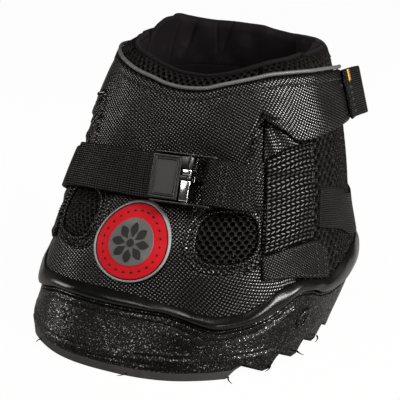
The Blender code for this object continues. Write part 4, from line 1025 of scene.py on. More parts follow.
EVEN = (0.5, 0.5)
# Woven finishes: hollow colours darker than crowns are painted shade between the yarns, and warm crowns carry painted
# highlight colour.
FINISHES = {
    "shield_cloth": Finish("coated basket weave", grey(0.0014), grey(0.0085, 0.10), (0.50, 0.25), (0.03, 0.90),
                           basket(0.00138, 0.47, 0.04, 0.00020), 0.02),
    "anchor_cloth": Finish("dull basket weave", grey(0.0012), grey(0.0055, 0.08), (0.55, 0.36), (0.03, 0.36),
                           basket(0.00120, 0.47, 0.04, 0.00020), 0.02),
    "side_cloth": Finish("coarse basket weave", grey(0.0008), grey(0.0055, 0.08), (0.60, 0.32), (0.02, 0.42),
                         ribs(0.0021, 0.0028, 0.0005, 0.8), 0.03),
    "webbing": Finish("black webbing", grey(0.0012), grey(0.009, 0.02), (0.65, 0.42), (0.05, 0.38),
                      ribs(0.0011, 0.0016, 0.0004), 0.06),
    "rough_webbing": Finish("rough webbing", grey(0.0012), grey(0.007, 0.05), (0.65, 0.40), (0.04, 0.34),
                            basket(0.0011, 0.785, 1.5, 0.0004), 0.06),
    "elastic": Finish("heel elastic", grey(0.0015), grey(0.009, 0.03), (0.65, 0.45), (0.04, 0.35),
                      ribs(0.0009, 0.0009, 0.0003, 2.0), 0.05),
    # pits paints shade into the mesh's holes.
    "mesh": Finish("spacer mesh yarn", grey(0.0032, 0.05), grey(0.010, 0.06), (0.60, 0.40), (0.05, 0.32),
                   ribs(0.0007, 0.0010, 0.00016), 0.0, pits=True),
    "lycra": Finish("smooth lycra", (0.0046, 0.0034, 0.0044), (0.0064, 0.0049, 0.0061), (0.75, 0.68), (0.05, 0.08),
                    grain(1600.0, 90.0, 0.00008), 0.02, sheen=0.02),
    "piping": Finish("reflective piping", grey(0.052, -0.03), grey(0.085, -0.02), (0.45, 0.36), EVEN,
                     ribs(0.0006, 0.0008, 0.00006), 0.10),
    "rubber": Finish("moulded rubber", grey(0.0018), grey(0.010), (0.36, 0.14), (0.07, 1.0),
                     grain(620.0, 38.0, 0.0004, 1.0), 0.01, False),
    "dry_rubber": Finish("dry moulded rubber", grey(0.0022), grey(0.006), (0.5, 0.42), (0.2, 0.3),
                         grain(620.0, 38.0, 0.0002), 0.03, False),
    # Paler rubber of the toe bevel: partly scuffing, partly painted reflection of the pale floor.
    "foot": Finish("scuffed foot rubber", grey(0.028), grey(0.045, 0.02), (0.6, 0.6), (0.2, 0.2),
                   grain(700.0, 60.0, 0.0001), 0.12, False),
    "rand": Finish("glossy rand rubber", grey(0.0025), grey(0.006), (0.22, 0.34), (0.22, 0.22),
                   grain(350.0, 30.0, 0.00012), 0.02, False),
    "lever": Finish("black lacquer", grey(0.004), grey(0.007), (0.28, 0.34), (0.4, 0.4),
                    grain(900.0, 50.0, 0.00003), 0.03, False),
    "lever_panel": Finish("lever panel", grey(0.011), grey(0.014), (0.50, 0.55), EVEN,
                          grain(1200.0, 50.0, 0.00003), 0.03, False),
    "steel": Finish("polished steel", grey(0.62), grey(0.72), (0.16, 0.24), EVEN, grain(1200.0, 80.0, 0.00002), 0.0,
                    False, metallic=1.0),
    "thread": Finish("black thread", grey(0.006), grey(0.034, 0.05), (0.55, 0.42), (0.2, 0.6),
                     ribs(0.0003, 0.0004, 0.00008), 0.05),
    "fleece": Finish("hook and loop pile", grey(0.002), grey(0.010), (0.9, 0.85), (0.1, 0.2),
                     grain(2400.0, 500.0, 0.0006), 0.06, False),
    "badge_rim": Finish("badge rim rubber", grey(0.16, 0.02), grey(0.22, 0.02), (0.5, 0.45), EVEN,
                        grain(900.0, 60.0, 0.00005), 0.08, False),
    "badge_red": Finish("badge red rubber", (0.38, 0.0045, 0.009), (0.45, 0.006, 0.012), (0.55, 0.50), (0.06, 0.06),
                        grain(900.0, 60.0, 0.00005), 0.04, False),
    "badge_grey": Finish("badge grey rubber", grey(0.078, 0.02), grey(0.115, 0.02), (0.5, 0.45), (0.1, 0.1),
                         grain(900.0, 60.0, 0.00005), 0.06, False),
    "badge_dark": Finish("badge dark rubber", grey(0.004), grey(0.008), (0.5, 0.45), (0.2, 0.2),
                         grain(900.0, 60.0, 0.00005), 0.04, False),
    "tag_yellow": Finish("yellow tag thread", (0.45, 0.30, 0.02), (0.75, 0.52, 0.05), (0.6, 0.5), EVEN,
                         ribs(0.0004, 0.0006, 0.0001), 0.15),
    "tag_green": Finish("green tag thread", (0.01, 0.10, 0.03), (0.02, 0.18, 0.06), (0.6, 0.5), EVEN,
                        ribs(0.0004, 0.0006, 0.0001), 0.15),
    "tag_red": Finish("red tag thread", (0.25, 0.01, 0.01), (0.45, 0.03, 0.02), (0.6, 0.5), EVEN,
                      ribs(0.0004, 0.0006, 0.0001), 0.15),
}


def paint(obj: Object, *finishes: str) -> Object:
    """Gives a piece its finishes, in the order of their numbers on its faces.

    Args:
        obj: the piece.
        finishes: their names.

    Returns:
        The piece.
    """
    for finish in finishes:
        obj.data.materials.append(FINISHES[finish].make())
    return obj


def dress(obj: Object, slot: str, *finishes: str) -> Object:
    """Gives a piece its finishes."""
    paint(obj, *finishes)
    return obj


def settle(obj: Object, body: Body, *nodes: str) -> None:
    """Lets a piece ride on its body and stand for its nodes.

    Args:
        obj: the piece.
        body: the body.
        nodes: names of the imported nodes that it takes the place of.
    """
    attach(obj, body.value)
    if nodes:
        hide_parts(*nodes)
    LOG.info("%s rides on %s", obj.name, body.value)


def follow(obj: Object, body: Body) -> None:
    """Lets a piece ride on the shield, or, for an arm, bakes its place into its mesh.

    Args:
        obj: the piece.
        body: the shield or an arm.
    """
    if body is Body.SHIELD:
        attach(obj, body.value)
    else:
        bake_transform(obj)
    LOG.info("%s follows %s", obj.name, body.value)


def second_finish(obj: Object, inside: Callable[[Array], Array]) -> None:
    """Gives the second finish to the faces whose middles pass a test.

    Args:
        obj: the piece.
        inside: the test, which takes places and says whether each passes.
    """
    mesh = obj.data
    middles = np.empty(len(mesh.polygons) * 3)
    mesh.polygons.foreach_get("center", middles)
    mesh.polygons.foreach_set("material_index", inside(middles.reshape(-1, 3)).astype(np.int32))


def sew_rows(name: str, rows: Sequence[Object], slot: str) -> Object:
    """Joins rows of stitches into one piece of thread."""
    return dress(merge(name, rows), slot, "thread")


# Panels over the skin


@dataclass
class Panel:
    """A sewn panel: a height field over the skin between two angles and two lines.

    Its outer side stands its thickness out of its inner side, falls as a quarter circle at its edges, but not where
    it butts on the next panel, and carries a relief that is a function of the angle and the level.
    """

    name: str
    first: float
    last: float
    low: LineFunction
    high: LineFunction
    inner: float | SkinFunction
    thickness: float
    relief: SkinFunction | None = None
    step: float = 0.0009
    edge: float = 0.0009
    butts: tuple[float, ...] = ()
    # Depth at which a hole's painted shade is full; 0 paints none.
    pits: float = 0.0

    def shares(self, size: float) -> Array:
        """Shares of a length in equal steps, which crowd at both ends so that these are round.

        Args:
            size: the length.

        Returns:
            The shares, from 0 to 1.
        """
        near = np.minimum(self.edge * np.array([0.0, 0.12, 0.3, 0.6, 1.0]) / size, 0.4)
        inner = np.linspace(near[-1], 1 - near[-1], max(2, int(size / self.step)))
        return np.concatenate([near[:-1], inner, 1 - near[:-1][::-1]])

    def build(self) -> Object:
        """Makes the panel.

        Returns:
            Its object.
        """
        angle = np.linspace(self.first, self.last, 65)
        low, high = self.low(angle), self.high(angle)
        length, height = walked(FORM.point(angle, (low + high) / 2))[-1], float(np.max(high - low)) * 1.15
        angle = self.first + (self.last - self.first) * self.shares(length)
        low, high = self.low(angle), self.high(angle)
        level = low + (high - low) * self.shares(height)[:, None]
        angle = np.broadcast_to(angle, level.shape)
        inner = self.inner(angle, level) if callable(self.inner) else self.inner
        gap = np.minimum(level - low, high - level) * 1.1
        per_degree = FORM.scales(angle, level)[0]
        for end in (self.first, self.last):
            if end not in self.butts:
                gap = np.minimum(gap, np.abs(angle - end) * per_degree)
        relief = self.relief(angle, level) * (1 - np.clip(1 - gap / self.edge, 0, 1)) if self.relief else 0.0
        skin = FORM.point(angle, level, inner)
        points = FORM.point(angle, level, inner + self.thickness * rounded(gap, self.edge, 0.02) + relief)
        start = (radians(self.first) * FORM.half_width, float(np.mean(low)))
        obj = shell(self.name, points, skin, cloth_map(skin, start))
        if self.pits:
            mark_pit_shade(obj, np.clip(-relief / self.pits, 0, 1) ** 1.3)
        return obj

    def sew(self, slot: str, finish: str, node: str, body: Body = Body.BOOT) -> None:
        """Makes the panel, dresses it and settles it on a body in the place of a node."""
        settle(dress(self.build(), slot, finish), body, node)


@dataclass
class Sole:
    """The cup sole, with its tread, its bosses and its moulded lines, and the glossy rand above it."""

    wall: float = 0.0048
    floor: float = 0.0105
    bevel_height: float = 0.0055
    bevel_depth: float = 0.0035
    notch_depth: float = 0.0060
    notch_pitch: float = 0.0213
    notch_flat: float = 0.0055
    notch_count: int = 4
    first_notch: float = -0.0645
    notch_inner: float = 0.033
    frog_middle: float = 0.030
    frog_depth: float = 0.0045
    bead_level: float = 0.0082
    boss_level: float = 0.128 * HEIGHT
    columns: int = 900

    def tread(self, x: Array, y: Array) -> Array:
        """Height of the underside: notches that are steep at their toe side, and an egg-shaped hollow for the frog.

        Args:
            x: places across the boot.
            y: places along it.

        Returns:
            Heights above the floor.
        """
        width = self.notch_pitch - self.notch_flat
        shares, depths = (0.0, 0.10, 0.26, 0.45, 0.72, 1.0), (0.0, 0.60, 0.92, 1.0, 0.60, 0.0)
        height = np.zeros(np.broadcast(x, y).shape)
        for number in range(self.notch_count):
            share = (y - self.first_notch - number * self.notch_pitch) / width
            inside = (share > 0) & (share < 1)
            height = height + np.where(inside, self.notch_depth * through(shares, depths, share), 0)
        height = height * smooth_step(np.abs(x), self.notch_inner, self.notch_inner + 0.0015)
        turned = (y - self.frog_middle) / 0.022
        spread = 0.020 * (1 + 0.30 * np.clip(turned, -1, 1))
        inside = 1 - (x / spread) ** 2 - turned**2
        return height + self.frog_depth * smooth_step(inside, 0.0, 0.18)

    def wall_relief(self, angle: Array, level: Array, groove: Array) -> Array:
        """Relief of the wall: a lip under the groove, an engraved line, two beaded lines and a pebbled field.

        Args:
            angle: degrees round the boot, from -180 to 180.
            level: height above the floor.
            groove: the groove's level at the angle.

        Returns:
            Distances out of the wall, each a bell or a step of the distance to its line.
        """
        size, below = np.abs(angle), groove - level
        lip = -0.0009 * (1 - rounded(below, 0.0010)) - 0.0008 * bump(below, 0.0016, 0.00026)
        engraved = -0.00045 * bump(below, 0.0046, 0.00035) * smooth_step(size, 75, 60)
        field_mask = smooth_step(below, 0.0056, 0.0070) * smooth_step(level, 0.0065, 0.0085)
        field_mask = field_mask * smooth_step(size, 98, 84)
        ledge = 0.0003 * smooth_step(below, 0.0052, 0.0060) * field_mask
        pebble = waves(*skin_lengths(angle, level), 3, 26, 0.0015) * 0.00007 * field_mask
        waved = self.bead_level + 0.0012 * np.sin(np.radians(angle) * 3)
        bead = 0.00055 * bump(level, waved, 0.0006) * smooth_step(size, 66, 58)
        second = 0.00040 * bump(level, waved + 0.0024, 0.0005) * smooth_step(size, 62, 50) * smooth_step(size, 2, 12)
        return lip + engraved + ledge + pebble + bead + second + soft(8, 14, 0.03, 0.00010)(angle, level)

    def build(self) -> None:
        """Makes the sole from rings: out under the foot, up the wall, down inside it and in over the floor.

        Faces are told apart by the ring that they start from, so that each finish ends at a ring.
        """
        turned = signed(np.arange(self.columns) * 360.0 / self.columns)
        groove = GROOVE(turned)
        bevel = through((0, 30, 62, 180), (1, 1, 0, 0), np.abs(turned))
        foot = FORM.point(turned, 0.0, -self.bevel_depth * bevel)
        rings = []
        for share in np.linspace(0.02, 1, 56) ** 0.8:
            ring = foot * (share, share, 1)
            ring[:, 2] = self.tread(ring[:, 0], ring[:, 1])
            rings.append(ring)
        under, start = len(rings) - 1, rings[-1][:, 2]
        foot_top = np.maximum(start + 0.0004, self.bevel_height)
        shares = [np.linspace(-1, 0, 9)[1:], np.linspace(0, 0.9, 42)[1:], np.linspace(0.91, 1, 12)]
        for share in np.concatenate(shares):
            level = foot_top + np.where(share < 0, foot_top - start, groove - foot_top) * share
            inset = -self.bevel_depth * bevel * (1 - np.clip(level / self.bevel_height, 0, 1))
            rings.append(FORM.point(turned, level, inset + self.wall_relief(turned, level, groove)))
        for level, out in (
            (groove, -0.0030), (groove, -self.wall), (groove - 0.002, -self.wall), (self.floor, -self.wall),
        ):
            rings.append(FORM.point(turned, level, out))
        for share in (0.7, 0.35, 0.02):
            rings.append(FORM.point(turned, self.floor, -self.wall) * (share, share, 1))
        obj = dress(closed_rings("sole", np.stack(rings)), "sole_rubber", "rubber", "foot", "dry_rubber")
        index = np.zeros(len(obj.data.polygons), np.int32)
        index[: under * self.columns] = 2
        # The toe bevel's lower rows take the paler foot finish: partly scuffing, partly painted reflection of the
        # pale floor.
        bevel_rows, pale_share = 6, 0.40
        rows = np.arange(bevel_rows * self.columns) + under * self.columns
        index[rows[np.tile(bevel > pale_share, bevel_rows)]] = 1
        obj.data.polygons.foreach_set("material_index", index)
        settle(obj, Body.BOOT, "outsole")
        self.bosses()
        self.flash()
        self.rand()

    def bosses(self) -> None:
        """The ring boss with its oval dimple and the small round boss, on both sides.

        Each is a dome whose height is the root of one less the sixth power of the share of its radius.
        """
        pieces = []
        share = np.concatenate([np.linspace(0.02, 1, 30), [1.0]])[:, None]
        turn = full_turn(64)[None]
        for side in Side:
            for size, radius, rise, dimple in ((71.0, 0.0055, 0.0015, 0.0011), (23.0, 0.0026, 0.0010, 0.0)):
                angle = side.value * size
                per_degree, climb = FORM.scales(angle, self.boss_level)
                x, y = share * radius * np.cos(turn), share * radius * np.sin(turn)
                oval = (x / (radius * 0.42)) ** 2 + (y / (radius * 0.62)) ** 2
                out = rise * (1 - share**6) ** 0.5 + 0 * turn - dimple * smooth_step(oval, 1.15, 0.55)
                out[-1] = -0.001
                points = FORM.point(angle + x / per_degree, self.boss_level + y * climb, out)
                pieces.append(closed_rings("boss", points[:, :: side.value]))
        settle(dress(merge("sole_bosses", pieces), "sole_rubber", "rubber"), Body.BOOT)

    def flash(self) -> None:
        """Thin curls of moulding flash: at the lower corners of the lugs, and two under the toe.

        Each is a cord that thins out, and that bends aside as the square of the way along it.
        """
        draw = np.random.default_rng(21)
        lugs = [self.first_notch - 0.0008 + number * self.notch_pitch for number in range(self.notch_count)]
        roots = []
        for side, reach in [(1, reach) for reach in lugs] + [(-1, reach) for reach in lugs[2:]]:
            angles = np.linspace(5, 150, 600) * side
            edge = FORM.point(angles, 0.004, 0.0010)
            index = int(np.argmin(np.abs(edge[:, 1] - reach)))
            roots.append((angles[index], edge[index], 1.25))
        roots += [(angle, FORM.point(angle, 0.0, -0.0034), 1.0) for angle in (8.4, -37.2)]
        pieces = []
        share = np.linspace(0, 1, 12)[:, None]
        for number, (angle, base, stretch) in enumerate(roots):
            heading = unit(FORM.way_out(angle, 0.002) * (1, 1, 0) * 0.7 + (0.0, -0.9, 0))
            length = draw.uniform(0.0045, 0.0070) * stretch
            curl = np.cross(heading, (0, 0, 1)) * draw.choice((-1, 1)) * length * 0.35
            path = base + heading * length * share + curl * share**2 - heading * 0.0010
            path[:, 2] = 0.0010 + 0.0007 * share[:, 0]
            pieces.append(tube(f"flash_{number}", path, 0.00050 * (1 - 0.75 * share[:, 0]), 8))
        settle(dress(merge("moulding_flash", pieces), "sole_rubber", "rubber"), Body.BOOT)

    def rand(self) -> None:
        """The rand: one narrow roll between the groove and the upper, whose section is a rounded bar."""
        power = 2.4
        turned = signed(np.arange(720) / 2.0)
        low, high = GROOVE(turned) + GAP, RAND_TOP(turned)
        share = np.linspace(0, 1, 34)[:, None]
        level = low + (high - low) * share
        roll = (1 - np.abs(2 * share - 1) ** power) ** (1 / power)
        roll = roll * through((0, 0.45, 1), (0.92, 1.06, 0.62), share)
        uneven = waves(np.radians(turned) * SKIN_RADIUS, level, 5, 12, 0.018) * 0.00018
        points = FORM.point(turned, level, GAP + 0.0022 * roll + uneven * roll + 0.0002)
        obj = shell("rand_band", points, FORM.point(turned, level, GAP), cloth_map(points), True)
        settle(dress(obj, "rand_rubber", "rand"), Body.BOOT, "rand")


@dataclass
class Window:
    """A window of the vamp, a rounded D, with its mesh, its folded edge and its stitch rows."""

    side: Side
    angle: float = 35.0
    level: float = 0.434 * HEIGHT
    half_width: float = 0.0155
    half_height: float = 0.0135
    squareness: float = 2.7
    rows: tuple[float, float] = (0.0026, 0.0056)

    def spot(self, x: Array, y: Array) -> tuple[Array, Array]:
        """Angles and levels of places across and up from the window's middle."""
        per_degree, climb = FORM.scales(self.side.value * self.angle, self.level)
        return self.side.value * self.angle + x / per_degree, self.level + y * climb

    def reach(self, angle: Array, level: Array) -> Array:
        """How far a place lies out of the window's middle: one on its edge, by the superellipse's own measure.

        Args:
            angle: degrees round the boot.
            level: height above the floor.

        Returns:
            The shares of the way to the edge.
        """
        per_degree, climb = FORM.scales(self.side.value * self.angle, self.level)
        x = (angle - self.side.value * self.angle) * per_degree / self.half_width
        y = (level - self.level) / climb / self.half_height
        return (np.abs(x) ** self.squareness + np.abs(y) ** self.squareness) ** (1 / self.squareness)

    def ring(self, grow: float, closed: bool) -> tuple[Array, Array]:
        """Places round the window's superellipse.

        Args:
            grow: distance outside the window's edge.
            closed: whether the last place is the first again.

        Returns:
            Angles and levels.
        """
        turn = full_turn(160)
        turn = np.append(turn, 0.0) if closed else turn
        power = 2 / self.squareness
        x = np.sign(np.cos(turn)) * np.abs(np.cos(turn)) ** power * (self.half_width + grow)
        y = np.sign(np.sin(turn)) * np.abs(np.sin(turn)) ** power * (self.half_height + grow)
        return self.spot(x, y)

    def build(self) -> None:
        """Makes the mesh, whose field bulges as two parabolas, the folded edge and the stitches."""
        word, inset = self.side.word, 0.0005
        u, v = np.meshgrid(*[np.linspace(-1, 1, 120)] * 2)
        x = u * np.sqrt(1 - 0.40 * v**2) * (self.half_width - inset)
        y = v * np.sqrt(1 - 0.40 * u**2) * (self.half_height - inset)
        spot = self.spot(x, y)
        crown = 0.0011 * (1 - u**2) * (1 - v**2)
        relief = hole_relief(x, y, 0.0038, 0.00118, 0.0024)
        outer, inner = FORM.point(*spot, -0.0012 + crown + relief), FORM.point(*spot, -0.0046)
        obj = shell(f"window_net_{word}", outer, inner, np.stack([x, y], -1))
        # Painted shade in the mesh's holes.
        mark_pit_shade(obj, np.clip(-relief / 0.0018, 0, 1) ** 2)
        settle(dress(obj, "spacer_mesh", "mesh"), Body.BOOT, f"window_mesh_{word}")
        rim = tube(f"window_edge_{word}", FORM.point(*self.ring(0.0004, False), 0.0002), 0.00085, 10, loop=True)
        settle(dress(rim, "coated_weave", "shield_cloth"), Body.BOOT)
        rows = [seam("row", *self.ring(grow, True), 0.0001) for grow in self.rows]
        settle(sew_rows(f"window_stitches_{word}", rows, "coated_weave"), Body.BOOT)


def anchor_low(angle: Array) -> Array:
    """The anchor patch's lower edge, which never runs below the rand."""
    return np.maximum(ANCHOR_LOW(angle), RAND_TOP(angle) + GAP)


@dataclass
class Upper:
    """The vamp, the mesh quarters and the heel panel, with the patches sewn on them, and the lining behind them."""

    thickness: float = 0.0048
    top: float = 0.112
    joint: float = 0.15
    vamp_end: float = 64.0
    quarter_end: float = 128.0
    patch: float = 0.0014
    elastic_start: float = 77.5
    elastic_half: float = 0.0105
    windows: tuple[Window, Window] = field(default_factory=lambda: (Window(Side.RIGHT), Window(Side.LEFT)))

    def vamp_relief(self, angle: Array, level: Array) -> Array:
        """Relief of the vamp: pits for the windows, grooves along their stitch rows, and soft waves.

        Args:
            angle: degrees round the boot.
            level: height above the floor.

        Returns:
            Distances out.
        """
        relief = soft(11, 12, 0.028, 0.00022)(angle, level)
        for window in self.windows:
            reach = window.reach(angle, level)
            mean = (window.half_width + window.half_height) / 2
            relief = relief - 0.0030 * smooth_step(reach, 1.02, 0.97)
            for grow in window.rows:
                relief = relief - 0.00075 * bump(reach, 1 + grow / mean, 0.0007 / mean)
            relief = relief + 0.00090 * bump(reach, 1 + 0.0041 / mean, 0.0010 / mean)
        return relief

    def quarter_relief(self, angle: Array, level: Array) -> Array:
        """Relief of open mesh whose holes are wide towards the toe and fine towards the heel.

        Args:
            angle: degrees round the boot.
            level: height above the floor.

        Returns:
            Distances out.
        """
        lengths = skin_lengths(np.abs(angle), level)
        share = smooth_step(np.abs(angle), 91, 93)
        wide = hole_relief(*lengths, 0.0058, 0.00155, 0.0026, 0.85)
        return wide * (1 - share) + hole_relief(*lengths, 0.0036, 0.00100, 0.0022) * share

    def build(self) -> None:
        """Makes every panel of the upper."""
        low, top = GROOVE.raised(GAP), level_line(self.top)
        wall = -self.thickness, self.thickness
        end = self.vamp_end - self.joint
        vamp = Panel("vamp_cloth", -end, end, low, top, *wall, self.vamp_relief, 0.00082)
        vamp.sew("coated_weave", "shield_cloth", "vamp")
        for window in self.windows:
            window.build()
        for side in Side:
            ends = side.span(self.vamp_end + self.joint, self.quarter_end - self.joint)
            # The quarters' holes get painted shade.
            net = Panel(f"quarter_net_{side.word}", *ends, low, top, *wall, self.quarter_relief, 0.0005, pits=0.0009)
            net.sew("spacer_mesh", "mesh", f"quarter_mesh_{side.word}")
            self.patches(side)
        end = self.quarter_end + self.joint
        heel = Panel("heel_cloth", end, 360 - end, low, top, *wall, soft(4, 10, 0.03, 0.0003), 0.0013)
        heel.sew("coated_weave", "shield_cloth", "heel_panel")
        self.elastic()
        self.lining()

    def patches(self, side: Side) -> None:
        """The webbing anchor patch, the coarse side panel and the gusset of one side.

        Args:
            side: the side.
        """
        word = side.word
        anchor = Panel(f"anchor_webbing_{word}", *side.span(48.3, 82.0), anchor_low, ANCHOR_TOP, GAP, self.patch,
                       soft(6, 8, 0.012, 0.00015))
        anchor.sew("webbing", "anchor_cloth", f"anchor_patch_{word}")
        folds = Panel(f"side_cloth_{word}", *side.span(48.3, 73.5), ANCHOR_TOP.raised(GAP), SIDE_TOP, GAP, self.patch,
                      self.side_folds)
        folds.sew("coarse_weave", "side_cloth", f"side_panel_{word}")
        gusset = Panel(f"gusset_cloth_{word}", *side.span(47.3, 64.5), SIDE_TOP.raised(GAP), ARM_LOW.raised(-GAP),
                       GAP, 0.0013, self.pleats, 0.0006)
        gusset.sew("coated_weave", "shield_cloth", f"gusset_{word}")
        self.patch_stitches(side)

    def pleats(self, angle: Array, level: Array) -> Array:
        """Pleats of the gusset, which fan out from the arm's root: the size of a sine of the turn round the root.

        Args:
            angle: degrees round the boot.
            level: height above the floor.

        Returns:
            Distances out.
        """
        rise, run = 0.1150 - level, (np.abs(angle) - 46.5) * 0.0011
        fan = np.abs(np.sin(np.arctan2(rise, run) * 6.5)) ** 1.5
        return 0.0014 * fan * smooth_step(np.hypot(rise, run), 0.001, 0.006)

    def side_folds(self, angle: Array, level: Array) -> Array:
        """Soft folds across the side panel where the strap pulls it: bells along three leaning lines.

        Args:
            angle: degrees round the boot.
            level: height above the floor.

        Returns:
            Distances out.
        """
        past, folds = np.abs(angle) - 60, 0.0
        for height, place, lean, width in (
            (0.0009, 0.0885, 0.00012, 0.0022), (0.0007, 0.0780, 0.0002, 0.0030), (0.0006, 0.0600, -0.0001, 0.0025),
        ):
            folds = folds + height * bump(level, place - past * lean, width)
        return folds + soft(9, 10, 0.02, 0.0002)(angle, level)

    def patch_stitches(self, side: Side) -> None:
        """Stitch rows: a box at the anchor's end, and rows up both edges of the side panel.

        Args:
            side: the side.
        """
        sign, out, inset = side.value, 0.0017, 0.0016
        angle = sign * np.linspace(50, 80.5, 40)
        rows = [seam("row", angle, level, out) for level in (anchor_low(angle) + inset, ANCHOR_TOP(angle) - inset)]
        for sizes, count, low, high, ends in (
            ((79.2, 80.6, 74.5), 12, anchor_low, ANCHOR_TOP, (inset, inset)),
            ((49.6, 71.6, 72.6), 40, ANCHOR_TOP, SIDE_TOP, (0.002, 0.0015)),
        ):
            for size in sizes:
                angle = sign * size
                level = np.linspace(float(low(angle)) + ends[0], float(high(angle)) - ends[1], count)
                rows.append(seam("row", np.full(count, angle), level, out))
        settle(sew_rows(f"patch_stitches_{side.word}", rows, "webbing"), Body.BOOT)

    def elastic(self) -> None:
        """The elastic band round the heel, sewn at its ends."""

        def edge(sign: int) -> LineFunction:
            """The band's upper or lower edge.

            Args:
                sign: 1 for the upper edge, -1 for the lower one.

            Returns:
                The edge's level as a function of the angle.
            """

            def line(angle: Array) -> Array:
                """Half a width above or below the strap's middle line.

                Args:
                    angle: degrees round the boot.

                Returns:
                    The level: z = centre + sign * half width * scale.
                """
                turned = signed(angle)
                centre = STRAP_CENTRE(turned)
                return centre + sign * self.elastic_half * FORM.scales(turned, centre)[1]

            return line

        start = self.elastic_start
        relief = soft(14, 8, 0.025, 0.0002)
        band = Panel("heel_band", start, 360 - start, edge(-1), edge(1), GAP, 0.0017, relief, 0.0011)
        band.sew("elastic", "elastic", "heel_elastic")

    def lining(self) -> None:
        """The padded lining, and the footbed: rings that close in on the middle, over and under."""
        level = np.array([0.0131, 0.018, 0.03, 0.045, 0.06, 0.08, 0.1, 0.1118])[:, None]
        angle = np.arange(240)[None] * 1.5
        uneven = waves(np.radians(angle) * SKIN_RADIUS, level, 2, 10, 0.04) * 0.0003
        outer = FORM.point(angle, level, -0.0054)
        obj = shell("padded_lining", outer, FORM.point(angle, level, -0.0084 + uneven), cloth_map(outer), True)
        settle(dress(obj, "lining", "lycra"), Body.BOOT, "lining_toe", "lining_right", "lining_left", "lining_heel")
        share = np.concatenate([[0.01], np.linspace(0.08, 0.97, 14), [1.0, 1.0, 0.97, 0.5, 0.01]])[:, None]
        high = np.concatenate([np.full(15, 0.0171), [0.0167], np.full(4, 0.0131)])[:, None]
        rim = FORM.point(angle, high, -0.0090)
        middle = rim.mean(axis=1, keepdims=True)
        points = middle + (rim - middle) * share[..., None]
        uneven = 0.0002 * waves(points[..., 0], points[..., 1], 4, 8, 0.05)
        points[..., 2] = high + uneven * (share < 0.9) * (high > 0.015)
        obj = make_mesh("footbed_pad", points, grid_quads(len(share), 240, True), cloth_map(points))
        close_ends(obj)
        settle(dress(obj, "footbed_foam", "lycra"), Body.BOOT, "footbed")


